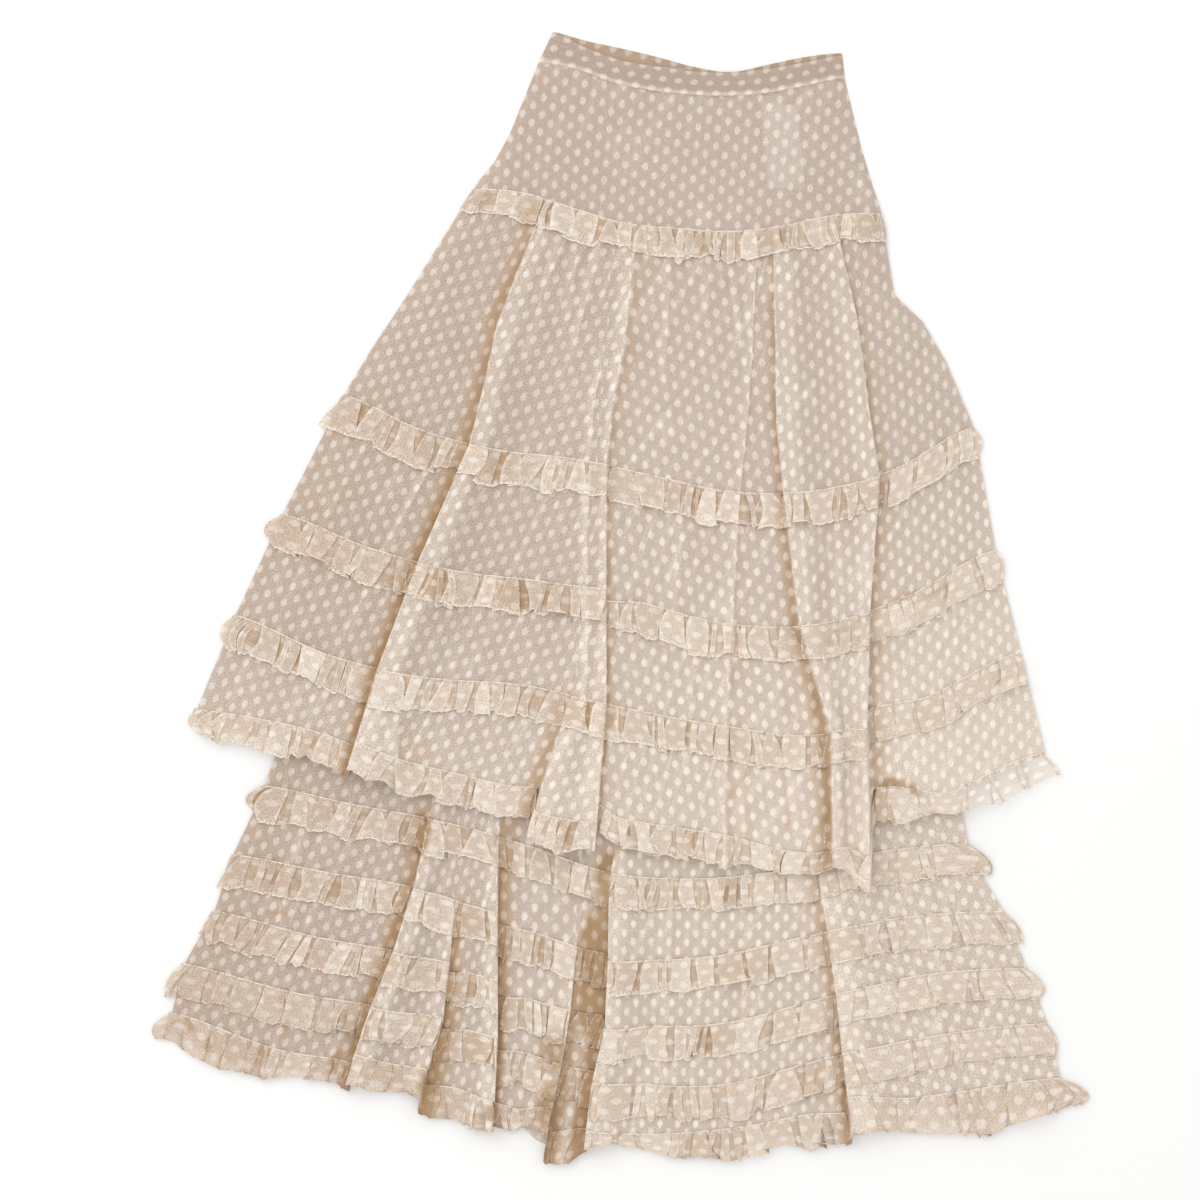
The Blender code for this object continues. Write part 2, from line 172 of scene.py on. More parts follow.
INNER_FOLDS = tuple(Fold(*row) for row in (
    ("cascade_left", -1, 3.0, 11.0, 8, 20, 6, 10, 0.6, 1.3,
     ((-197, -227), (-202, -279), (-207, -323), (-214, -372), (-229, -405), (-247, -483), (-256, -532))),
    ("cascade_gap", 1, 0.2, 8.0, 6, 14, 5, 8, 0.5, 1.2,
     ((-171, -330), (-171, -335), (-173, -383), (-175, -435), (-178, -473), (-194, -532))),
    ("cascade_right", 1, 3.0, 10.0, 8, 14, 6, 9, 0.7, 1.3,
     ((-135, -234), (-131, -295), (-126, -377), (-122, -434), (-117, -505), (-119, -563))),
    ("lap", 1, 0.2, 8.0, 6, 20, 5, 8, 0.5, 1.2,
     ((-40, -351), (-43, -430), (-45, -467), (-56, -542), (-57, -586))),
    ("centre_gap", -1, 3.0, 10.0, 8, 36, 6, 9, 0.7, 1.5,
     ((0, -260), (-4, -300), (-1, -338), (3, -380), (8, -415), (5, -464), (-2, -506), (-3, -564))),
    ("right_ridge", -1, 3.0, 10.0, 14, 40, 7, 9, 0.9, 0.9,
     ((213, -257), (220, -298), (229, -327), (244, -391), (255, -443), (264, -490), (269, -516))),
))
print("long folds:", len(OUTER_FOLDS), "on the overskirt,", len(INNER_FOLDS), "on the underskirt")

# %% Crease tables
OUTER_CREASES = tuple(Fold(*row) for row in (
    ("gore_crease", -1, 1.5, 0.4, 3, 14, 8, 0, 0.35, 0.35,
     ((-120, 378), (-125, 335), (-131, 292), (-146, 239))),
    ("band_edge", 1, 1.2, 0.8, 1, 6, 5, 0, 0.7, 0.25,
     ((-60, 250), (-66, 200), (-62, 60), (-52, -40), (-47, -140))),
    ("hip_line_1", 1, 0.8, 0.4, 2, 8, 6, 0, 0.3, 0.45, ((-94, 385), (-95, 361), (-97, 316), (-100, 280))),
    ("hip_line_2", 1, 0.8, 0.4, 2, 8, 6, 0, 0.45, 0.2, ((-72, 385), (-73, 350), (-82, 309), (-92, 250))),
    ("hip_line_3", -1, 0.8, 0.4, 2, 8, 6, 0, 0.35, 0.3, ((64, 385), (65, 361), (72, 322), (80, 270))),
    ("hip_line_4", 1, 0.8, 0.4, 2, 8, 6, 0, 0.35, 0.3, ((128, 395), (134, 340), (141, 280))),
    ("fine_line", 1, 0.8, 0.3, 2, 7, 6, 0, 0.35, 0.2, ((2, 365), (4, 316), (6, 234))),
    ("short_line", 1, 0.8, 0.3, 2, 7, 6, 0, 0.3, 0.3, ((44, 360), (45, 299))),
    ("tier_line_1", 1, 0.8, 0.5, 2, 8, 6, 0, 0.35, 0.2, ((35, 130), (38, 60), (37, -20))),
    ("tier_line_2", -1, 0.8, 0.5, 2, 8, 6, 0, 0.4, 0.3, ((196, 120), (203, 40), (206, -60), (207, -120))),
    ("tier_line_3", 1, 0.8, 0.5, 2, 8, 6, 0, 0.35, 0.25, ((60, -20), (62, -80), (66, -180))),
    ("tier_line", -1, 0.8, 0.4, 2, 7, 5, 0, 0.5, 0.2, ((158, 70), (163, 10), (168, -15))),
    ("tier_flap", 1, 0.8, 1.0, 2, 8, 6, 0, 0.7, 0.4,
     ((177, -28), (187, -90), (196, -137), (206, -184), (214, -246))),
    ("tier_shade", 1, 0.6, 1.0, 2, 10, 8, 0, 0.15, 0.5, ((139, -20), (154, -93), (166, -155))),
    ("tier_line_4", 1, 0.8, 1.0, 2, 8, 6, 0, 0.5, 0.4, ((117, -138), (124, -201), (130, -253))),
    ("left_line", 1, 0.8, 0.3, 2, 9, 6, 0, 0.3, 0.2, ((-235, 120), (-262, 40), (-300, -60))),
    ("hem_line", 1, 1.4, 1.6, 5, 10, 5, 2, 0.6, 0.4, ((-243, -130), (-241, -170), (-243, -200))),
    ("pleat_line", -1, 1.0, 1.6, 5, 10, 6, 2, 0.5, 0.5, ((165, -130), (172, -180), (183, -240))),
))
INNER_CREASES = tuple(Fold(*row) for row in (
    ("left_line", 1, 1.0, 0.6, 3, 12, 6, 0, 0.3, 0.3, ((-330, -250), (-345, -330), (-352, -420))),
    ("mid_line", 1, 1.0, 0.8, 3, 10, 6, 0, 0.4, 0.3, ((58, -300), (62, -380), (66, -520))),
    ("slack_line", -1, 1.2, 0.8, 4, 12, 6, 0, 0.4, 0.35, ((135, -310), (142, -400), (150, -520))),
    ("right_line", 1, 1.0, 0.8, 4, 14, 7, 0, 0.4, 0.35, ((325, -270), (342, -350), (360, -480))),
))
print("creases:", len(OUTER_CREASES), "on the overskirt,", len(INNER_CREASES), "on the underskirt")

# %% Tuck tables
# a hollow with painted shade, or a pouch that puffs up with painted light; long and short to its two sides
Tuck = namedtuple("Tuck", "name x y long short turn dark light rise", defaults=(0, 0))
OUTER_TUCKS = tuple(Tuck(*row) for row in (
    ("crescent", 274, -171, 23, 5.8, 6, 0.9),
    ("crescent_tail", 299, -173, 13, 5.2, -31, 0.8),
    ("crescent_head", 254, -175, 7, 5.2, 65, 0.8),
    ("pouch_foot", 274, 25, 13, 5.2, 33, 0.45),
    ("pouch", 261, -2, 29, 12.6, 32, 0, 1.2, 2.6),
    ("pouch_side", 305, 32, 13, 5.2, 25, 0.4),
    ("pouch_line", 318, 36, 12, 2.6, 90, 0.6),
    ("tier_line_low", 203, -23, 12, 2.6, 93, 0.45),
    ("tier_line_high", 215, -16, 9, 3.2, 73, 0.4),
    ("fold_foot", -22, -124, 15, 6.3, 93, 0.7),
    ("tier_patch", -214, -175, 15, 13.7, 95, 0.35),
))
INNER_TUCKS = tuple(Tuck(*row) for row in (
    ("left_bar", -352, -359, 16, 5.2, 2, 0.6),
    ("gap_top", -13, -283, 23, 8.4, 73, 1.1),
    ("cascade_side", -116, -283, 15, 4.7, 89, 0.8),
    ("cascade_top", -205, -267, 29, 8.4, 79, 1.2),
    ("gap_wide", -16, -426, 36, 14.7, 91, 1.5),
    ("gap_upper", -21, -365, 38, 13.7, 89, 1.1),
    ("lap_dark", -57, -482, 24, 11.6, 85, 0.8),
    ("lap_low", -59, -536, 29, 9.5, 81, 0.9),
    ("cascade_dark", -174, -490, 21, 10.5, 67, 1.0),
    ("cascade_low", -188, -521, 17, 10.5, 65, 1.0),
    ("cascade_line", -114, -490, 21, 4.7, 91, 0.9),
    ("hem_dark_1", -121, -549, 9, 7.4, 65, 0.7),
    ("hem_dark_2", -63, -554, 14, 9.5, 85, 0.6),
    ("hem_dark_3", -436, -483, 10, 4.7, -57, 0.8),
    ("hem_dark_4", -415, -502, 10, 4.7, 80, 0.8),
    ("hem_dark_5", -397, -516, 9, 5.2, -15, 0.5),
    ("hem_dark_6", -359, -507, 15, 4.7, 77, 0.8),
    ("hem_dark_7", -281, -509, 16, 6.3, 71, 0.9),
    ("slant_line", -339, -484, 17, 4.2, 67, 0.5),
    ("valley", -341, -452, 12, 5.2, 87, 0.55),
))
print("tucks:", len(OUTER_TUCKS), "on the overskirt,", len(INNER_TUCKS), "on the underskirt")

# %% What one fold does to the cloth
SOFT_EDGE = 9.0                         # how far the light runs out beside a fold
SHADE_REACH = 16.0                      # and the shade, from the foot of its wall
LINE_WIDE, LINE_GAIN = 1.6, 1.6         # the bright line of threads along a crest


def mark_fold(fold, offset, strength):
    """Rise, sideways lap, light, shade and crest line; offset grows over the wall."""
    over_wall = smooth(offset / fold.wall)
    rise = np.where(offset > 0, 1 - over_wall, 1 - smooth((-offset - fold.band) / fold.soft))
    slide = np.where(offset > 0, 1 - over_wall, smooth(1 + offset / (fold.band + 3 * fold.lap + 1)))
    # painted light along the crest, and painted shade beside the wall
    light = smooth((offset + fold.band + SOFT_EDGE) / SOFT_EDGE)
    light = fold.light * (light * smooth(1 - offset / (0.5 * fold.wall)))
    reach = SHADE_REACH * max(fold.dark, 1.0)
    shade = fold.dark * (smooth(offset / fold.wall) * smooth(1 - (offset - fold.lap) / reach))
    line = min(LINE_GAIN * fold.light, 1.0) * smooth(1 - np.abs(offset) / LINE_WIDE)
    return rise, fold.side * fold.lap * slide * strength, light, shade, line


def tuck_spot(tuck, x, y):
    """How much of a tuck lies at each place, from 0 to 1."""
    turn = math.radians(tuck.turn)
    along = (x - tuck.x) * math.cos(turn) + (y - tuck.y) * math.sin(turn)
    across = (y - tuck.y) * math.cos(turn) - (x - tuck.x) * math.sin(turn)
    return smooth(1.5 - np.hypot(along / tuck.long, across / tuck.short))


# %% [markdown]
# ## Where the seams jog
# A long fold often takes up more cloth on one side than on the other, and then every
# seam that it crosses has a step there. A Jog says how much higher the seam lies on the
# left and on the right of a crest than the smooth line of its level, and how far from
# the crest that can be felt.

# %% Jog tables
Jog = namedtuple("Jog", "level fold left right reach")
OUTER_JOGS = tuple(Jog(*row) for row in (
    ("over_seam_2", "centre_left", 4, -7, 60),
    ("over_seam_3", "right_pleat", -4, 14, 60),
    ("over_hem", "left_gore", -2, 6, 40),
    ("over_hem", "flare", 8, -12, 40),
    ("over_hem", "centre_left", -8, 10, 45),
    ("over_hem", "right_pleat", -16, 50, 70),
))
INNER_JOGS = tuple(Jog(*row) for row in (
    ("under_seam_2", "cascade_right", 3, -6, 50),
    ("under_seam_2", "centre_gap", 2, -4, 50),
    ("under_seam_3", "cascade_gap", 4, -5, 30),
    ("under_seam_3", "cascade_right", 6, -10, 50),
    ("under_seam_3", "centre_gap", 5, -8, 50),
    ("under_seam_4", "cascade_gap", 6, -5, 30),
    ("under_seam_4", "cascade_right", 5, -8, 50),
    ("under_seam_4", "centre_gap", 4, -6, 50),
    ("under_hem", "cascade_left", -4, 8, 40),
    ("under_hem", "cascade_gap", 8, -8, 30),
    ("under_hem", "lap", 12, -14, 45),
    ("under_hem", "right_ridge", -6, 10, 60),
))
print("jogs:", len(OUTER_JOGS), "on the overskirt,", len(INNER_JOGS), "on the underskirt")

# %% [markdown]
# ## One cloth, two skirts
# The overskirt and the underskirt are made the same way, so a small class keeps the
# tables of one skirt and answers where a point lies in plan. Its columns follow the long
# folds, so that a crest stays on one column. The paleness tables paint the net lighter
# where more cloth lies beneath it, and below zero they paint it darker with shade.

# %% The skirt class
class Skirt:
    """A front and a back cloth over a stack of levels; v is a level, w a share of the width."""

    def __init__(self, levels, folds, creases, tucks, jogs, pale, first_folded):
        self.levels, self.folds, self.creases, self.tucks = levels, folds, creases, tucks
        self.names = [level.name for level in levels]
        self.pale = pale
        first = self.names.index(first_folded)
        shares = [[self.crossing(level, fold) for fold in folds] for level in levels[first:]]
        self.homes = np.mean(shares, axis=0)
        self.shares = np.array([shares[0]] * first + shares)
        fold_names = [fold.name for fold in folds]
        self.jogs = [(self.names.index(jog.level), fold_names.index(jog.fold), jog) for jog in jogs]

    def crossing(self, level, fold):
        """Share of the width at which a fold's crest crosses a level."""
        path = np.array(fold.path, float)[::-1]
        share = 0.5
        for _ in range(8):
            x = np.interp(spline(level.line, share), path[:, 1], path[:, 0])
            share = (x - level.left) / (level.right - level.left)
        return share

    def across(self, k, w):
        """Share of a level's own width at which columns lie."""
        inside = np.interp(w, (0, *self.homes, 1), (0, *self.shares[k], 1))
        return inside + np.minimum(w, 0) + np.maximum(w - 1, 0)

    def on_level(self, k, w, back=False, jogged=True):
        """Place in plan of shares of the width on one level."""
        level = self.levels[k]
        share = self.across(k, w)
        y = spline(BACK_LINES.get(level.name, level.line) if back else level.line, share)
        for at, number, jog in self.jogs:
            if at == k and jogged and not back:
                fold = self.folds[number]
                from_crest = (w - self.homes[number]) * (level.right - level.left)
                past = smooth(from_crest * fold.side / fold.wall)
                past = past if fold.side > 0 else 1 - past
                y = y + mix(jog.left, jog.right, past) * smooth(1 - np.abs(from_crest) / jog.reach)
        return mix(level.left, level.right, share), y

    def plan(self, v, w, back=False):
        """Place in plan of any levels and shares of the width."""
        v, w = np.broadcast_arrays(np.asarray(v, float), np.asarray(w, float))
        x, y = np.zeros(v.shape), np.zeros(v.shape)
        whole = np.clip(np.floor(v).astype(int), 0, len(self.levels) - 2)
        for k in np.unique(whole):
            here = whole == k
            upper = self.on_level(k, w[here], back)
            lower = self.on_level(k + 1, w[here], back)
            t = v[here] - k
            x[here], y[here] = mix(upper[0], lower[0], t), mix(upper[1], lower[1], t)
        return x, y

    def between(self, field, v):
        """One column of the level table at any levels."""
        values = [getattr(level, field) for level in self.levels]
        return np.interp(v, range(len(values)), values)

    def width(self, v):
        return self.between("right", v) - self.between("left", v)


# %% Two skirts
# paleness: broad painted light, and below zero painted shade, on the cloth
OUTER_PALE = {                          # at the left, in the middle and at the right
    "waist_top": (-0.2, 0.0, 0.0),
    "hip_seam": (-0.1, 0.12, 0.1),
    "over_seam_1": (-0.2, 0.28, 0.2),
    "over_seam_2": (-0.28, 0.3, 0.5),
    "over_seam_3": (-0.1, 0.42, 0.75),
    "over_hem": (0.2, 0.5, 0.85),
}
INNER_PALE = {                          # below zero the cloth looks darker
    "under_top": (0.0, 0.2, 0.2),
    "under_seam_1": (-0.24, 0.45, 0.6),
    "under_hem": (-0.24, 0.45, 0.6),
}
outer = Skirt(OUTER, OUTER_FOLDS, OUTER_CREASES, OUTER_TUCKS, OUTER_JOGS, OUTER_PALE,
              first_folded="hip_seam")
inner = Skirt(INNER, INNER_FOLDS, INNER_CREASES, INNER_TUCKS, INNER_JOGS, INNER_PALE,
              first_folded="under_seam_1")
print("overskirt folds at", np.round(outer.homes, 3), "of its width")
print("underskirt folds at", np.round(inner.homes, 3), "of its width")

# %% [markdown]
# ## How the front lies
# The front cloth rises from the side seam to the height of its level. Then the folds,
# creases and tucks are laid on it, one after the other, each with its painted light, its
# painted shade and the bright line of its crest. A fold starts softly and grows down the
# skirt, as the flare does.

# %% All folds of a skirt
LAP_AT_TOP, LIGHT_AT_TOP, SHADE_AT_TOP = 0.35, 0.6, 0.55    # shares of what it has at its foot
FOLD_START, FOLD_ABOVE = 34.0, 14.0     # a fold comes up over 34 mm, from 14 mm above its path
CREASE_END = 30.0                       # and a crease runs out again at its lower end


def relief(skirt, v, w, x, y):
    """Height, sideways lap, light, shade and crest lines of all folds."""
    lift, lap, light, shade, line = (np.zeros_like(x) for _ in range(5))
    wide = skirt.width(v)
    for number, fold in enumerate((*skirt.folds, *skirt.creases)):
        path = np.array(fold.path, float)
        top, bottom = path[:, 1].max(), path[:, 1].min()
        if number < len(skirt.folds):
            from_crest = (w - skirt.homes[number]) * wide
            ends = 1.0
        else:
            from_crest = x - np.interp(y, path[::-1, 1], path[::-1, 0])
            ends = smooth((y - bottom + 10) / CREASE_END)
        down = np.clip((top - y) / (top - bottom), 0, 1)
        present = smooth((top + FOLD_ABOVE - y) / FOLD_START) * ends
        strength = mix(LAP_AT_TOP, 1.0, down)
        rise, slide, bright, dark, crest = mark_fold(fold, from_crest * fold.side, strength)
        lift += mix(fold.low, fold.high, down) * present * rise
        lap += slide * present
        # painted light and painted shade of each fold, strongest at its foot
        light = np.maximum(light, bright * present * mix(LIGHT_AT_TOP, 1.0, down))
        shade = np.maximum(shade, dark * present * mix(SHADE_AT_TOP, 1.0, down))
        worn = 0.55 + 0.45 * ripple(y, 70 + number, 110)
        line = np.maximum(line, crest * present * worn)
    for tuck in skirt.tucks:
        spot = tuck_spot(tuck, x, y)
        lift += tuck.rise * spot
        # a tuck's painted light and painted shade
        light = np.maximum(light, tuck.light * spot)
        shade = np.maximum(shade, tuck.dark * spot)
    return lift, lap, light, shade, line


# %% Front and back height
SEAM_RISE = 0.4                         # how far a side seam stands over the back
SEAM_IN, SEAM_SHARE = 0.002, 0.006      # shares of the width where the seam turns over
FADE_SHARE = 0.02                       # and where folds run out beside it


def paleness(skirt, v, w):
    """Paleness of the cloth: painted light where more of it lies beneath, painted shade below zero."""
    stops = [skirt.names.index(name) for name in skirt.pale]
    columns = np.array([skirt.pale[name] for name in skirt.pale])
    left, middle, right = (np.interp(v, stops, columns[:, i]) for i in range(3))
    to_middle = mix(left, middle, np.clip(w * 2, 0, 1))
    return np.where(w < 0.5, to_middle, mix(middle, right, np.clip(w * 2 - 1, 0, 1)))


def front_cloth(skirt, v, w, x, y):
    """Height of the front cloth, its sideways lap, light, shade and crest lines."""
    inside = np.minimum(w, 1 - w)
    rim = smooth(inside / skirt.between("ease", v))
    height = mix(skirt.between("edge", v), skirt.between("inner", v), rim)
    side_seam = skirt.between("back", v) + SEAM_RISE
    height = mix(side_seam, height, smooth((inside + SEAM_IN) / SEAM_SHARE))
    lift, lap, light, shade, line = relief(skirt, v, w, x, y)
    fade = smooth(inside / FADE_SHARE)
    pale = paleness(skirt, v, w)
    # paleness lays broad painted light on the cloth, and below zero painted shade
    light = mix(np.maximum(pale, 0), 1.0, light * fade)
    shade = np.maximum(shade * fade, -pale)
    return height + lift * fade + SHEER, lap * fade, light, shade, line * fade


def back_height(skirt, v):
    """Height of the back cloth."""
    return skirt.between("back", v) + SHEER


print("back of the overskirt at its hem:", back_height(outer, len(OUTER) - 1), "mm up")

# %% Columns of a front
def share_of(skirt, path):
    """Shares of the width at which the points of a path lie."""
    v, w = np.meshgrid(np.linspace(0, len(skirt.levels) - 1, 120), np.linspace(0, 1, 200))
    x, y = skirt.plan(v, w)
    return [w.ravel()[np.argmin((x - a).ravel() ** 2 + (y - b).ravel() ** 2)] for a, b in path]


def front_columns(skirt, step, fine, reach=16.0):
    """Shares of the width: even steps, closer together beside folds and creases."""
    wide = skirt.width(len(skirt.levels) - 1)
    keys = set(np.round(np.linspace(0, 1, round(wide / step) + 1), 6))
    for home in skirt.homes:
        near = np.arange(-round(reach / fine), round(reach / fine) + 1) * fine / wide
        keys |= set(np.round(home + near, 6))
    for crease in skirt.creases:
        ends = share_of(skirt, crease.path)
        near = np.arange(min(ends) - 4 / wide, max(ends) + 4 / wide, fine / wide)
        keys |= set(np.round(near, 6))
    keys = sorted(k for k in keys if 0 <= k <= 1)
    kept = [keys[0]]
    for key in keys[1:]:
        if (key - kept[-1]) * wide > 0.6 * fine:
            kept.append(key)
    kept[-1] = 1.0
    return np.array(kept)


# %% [markdown]
# ## Where the spots run
# Net is cut in panels, and in each panel the rows of spots keep the direction of the
# threads. Two short vectors say how far it is from one spot to the next, across and
# down, in millimetres on the table. Panels that lie at a slant get slanted vectors.
# The UV map holds these repeats, so a whole number in it is always a spot.

# %% Weave directions
Weave = namedtuple("Weave", "across down slip")
SLIP = 0.61                             # repeats that are lost at each seam and fold
YOKE_WEAVE = Weave((20.6, 0.0), (-0.4, -18.2), 0.0)
LEFT_WEAVE = Weave((18.3, -7.8), (-7.9, -17.5), SLIP)
MIDDLE_WEAVE = Weave((20.6, 6.2), (4.2, -18.3), SLIP)
RIGHT_WEAVE = Weave((18.1, 6.0), (2.9, -19.2), SLIP)
UNDER_LEFT = Weave((19.1, -5.8), (-6.4, -17.8), SLIP)
UNDER_CASCADE = Weave((17.0, -2.0), (-3.0, -19.0), SLIP)
UNDER_CENTRE = Weave((21.8, 0.6), (1.6, -20.2), SLIP)
UNDER_MIDDLE = Weave((18.8, 1.2), (0.9, -18.6), SLIP)
UNDER_RIGHT = Weave((18.0, 11.0), (8.0, -16.4), SLIP)
OUTER_WEAVES = 3 * (LEFT_WEAVE,) + 2 * (MIDDLE_WEAVE,) + 2 * (RIGHT_WEAVE,)
INNER_WEAVES = (UNDER_LEFT,) + 2 * (UNDER_CASCADE,) + 2 * (UNDER_CENTRE,) + (UNDER_MIDDLE, UNDER_RIGHT)


def repeats(weave, x, y, phase):
    """Table places as numbers of repeats across and down."""
    (ax, ay), (dx, dy), _ = weave
    area = ax * dy - ay * dx
    return (x * dy - y * dx) / area + phase, (ax * y - ay * x) / area + 0.37 * phase


print("gores:", len(OUTER_WEAVES), "on the overskirt,", len(INNER_WEAVES), "on the underskirt")

# %% [markdown]
# ## From a grid to a cloth
# Every cloth starts as Blender's own grid. Its corners are then moved: the column of a
# corner says how far across it is, its row how far down. The net is thinner than any
# thickness that could show, so the sheet stays a single skin, which also lets light
# through each layer once, as real net does. Each corner also keeps three marks for the
# material: how much painted light, how much painted shade and how edge-bright the net is.

# %% Sheet helpers
def grid_mesh(name, columns, rows):
    """A grid with its corners' column and row numbers."""
    bm = bmesh.new()
    across, down = len(columns) - 1, len(rows) - 1
    bmesh.ops.create_grid(bm, x_segments=across, y_segments=down, size=1.0)
    mesh = bpy.data.meshes.new(name + "_cloth")
    bm.to_mesh(mesh)
    bm.free()
    place = np.empty(len(mesh.vertices) * 3)
    mesh.vertices.foreach_get("co", place)
    place = place.reshape(-1, 3)
    column = np.rint((place[:, 0] + 1) / 2 * across).astype(int)
    row = np.rint((1 - place[:, 1]) / 2 * down).astype(int)
    return mesh, column, row


def finish_sheet(name, mesh, x, y, z, finish, marks=None):
    """Lay a grid in place, and give it its three marks and its finish."""
    points = np.stack([(x - CENTRE[0]) * MM, (y - CENTRE[1]) * MM, z * MM], axis=1)
    mesh.vertices.foreach_set("co", points.ravel())
    form = mesh.attributes.new("form", "FLOAT_VECTOR", "POINT")
    marks = marks or (np.zeros_like(z),) * 3
    form.data.foreach_set("vector", np.stack(marks, axis=1).astype(np.float32).ravel())
    mesh.polygons.foreach_set("use_smooth", [True] * len(mesh.polygons))
    mesh.materials.append(finish)
    mesh.update()
    piece = bpy.data.objects.new(name + "_cloth", mesh)
    bpy.context.scene.collection.objects.link(piece)
    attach(piece, "root")
    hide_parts(name)
    return piece


def corner_uv(mesh, u, v):
    """A UV map from one pair of numbers for every face corner."""
    layer = mesh.uv_layers.new(name="weave")
    layer.data.foreach_set("uv", np.stack([u, v], axis=1).astype(np.float32).ravel())


def corners(mesh):
    """For each face corner its vertex, and the vertices of its whole face."""
    vertex = np.empty(len(mesh.loops), int)
    mesh.loops.foreach_get("vertex_index", vertex)
    faces = vertex.reshape(-1, 4)
    return vertex, np.repeat(faces, 4, axis=0)


def point_uv(mesh, u, v):
    """A UV map from one pair of numbers for every vertex."""
    vertex, _ = corners(mesh)
    corner_uv(mesh, u[vertex], v[vertex])


# %% [markdown]
# ## The net
# Seen from a step away the threads melt into a warm haze that lets some light through,
# with brighter woven spots in staggered rows. One node group makes this from the UV map:
# a lattice of spots that is turned by an eighth, the diamond holes of the net, thicker
# and thinner places, and the three marks of the cloth: painted light, painted shade and
# bright edges. Each material sets its own thread colours and cover. Shaded net is covered
# more, because more of it lies there.

# %% Node helpers
def add_node(tree, kind, **settings):
    node = tree.nodes.new(kind)
    for key, value in settings.items():
        setattr(node, key, value)
    return node


def link(tree, source, target):
    if isinstance(source, (int, float, tuple)):
        target.default_value = source
    else:
        tree.links.new(source, target)


def maths(tree, operation, *values, clamp=False):
    node = add_node(tree, "ShaderNodeMath", operation=operation, use_clamp=clamp)
    for value, socket in zip(values, node.inputs):
        link(tree, value, socket)
    return node.outputs[0]


def vectors(tree, operation, *values):
    node = add_node(tree, "ShaderNodeVectorMath", operation=operation)
    for value, socket in zip(values, node.inputs):
        link(tree, value, socket)
    return node.outputs[0]


def parted(tree, vector):
    node = add_node(tree, "ShaderNodeSeparateXYZ")
    link(tree, vector, node.inputs[0])
    return node.outputs[:3]


def blend_colour(tree, share, first, second, how="MIX"):
    node = add_node(tree, "ShaderNodeMix", data_type="RGBA", blend_type=how)
    link(tree, share, node.inputs[0])
    link(tree, first, node.inputs[6])
    link(tree, second, node.inputs[7])
    return node.outputs[2]


def ranged(tree, value, low, high, to_low=0.0, to_high=1.0):
    node = add_node(tree, "ShaderNodeMapRange", interpolation_type="SMOOTHSTEP")
    for given, socket in zip((value, low, high, to_low, to_high), node.inputs):
        link(tree, given, socket)
    return node.outputs[0]


# %% The spotted net group
SPOT_WIDE, SPOT_TALL = 0.165, 0.26      # half size of a spot, in repeats
MESHES = 9                              # holes of the net in one repeat
MOTTLES = 11.0                          # thicker and thinner places in one repeat
# tints of the painted light and the painted shade, of the net's holes and of its bright edges
PAINTED_LIGHT_TINT = (0.955, 0.845, 0.73, 1.0)  # and how much each tint takes over at its most
LIGHT_SHARE = 0.8
PAINTED_SHADE_TINT = (0.36, 0.205, 0.08, 1.0)
SHADE_SHARE = 0.88
HOLE_TINT = (0.67, 0.6, 0.525, 1.0)
HOLE_SHARE = 0.55
EDGE_TINT = (0.94, 0.85, 0.73, 1.0)
OPEN_LOSS, LIGHT_GAIN, SHADE_GAIN = 0.22, 0.25, 0.45        # of the net's cover


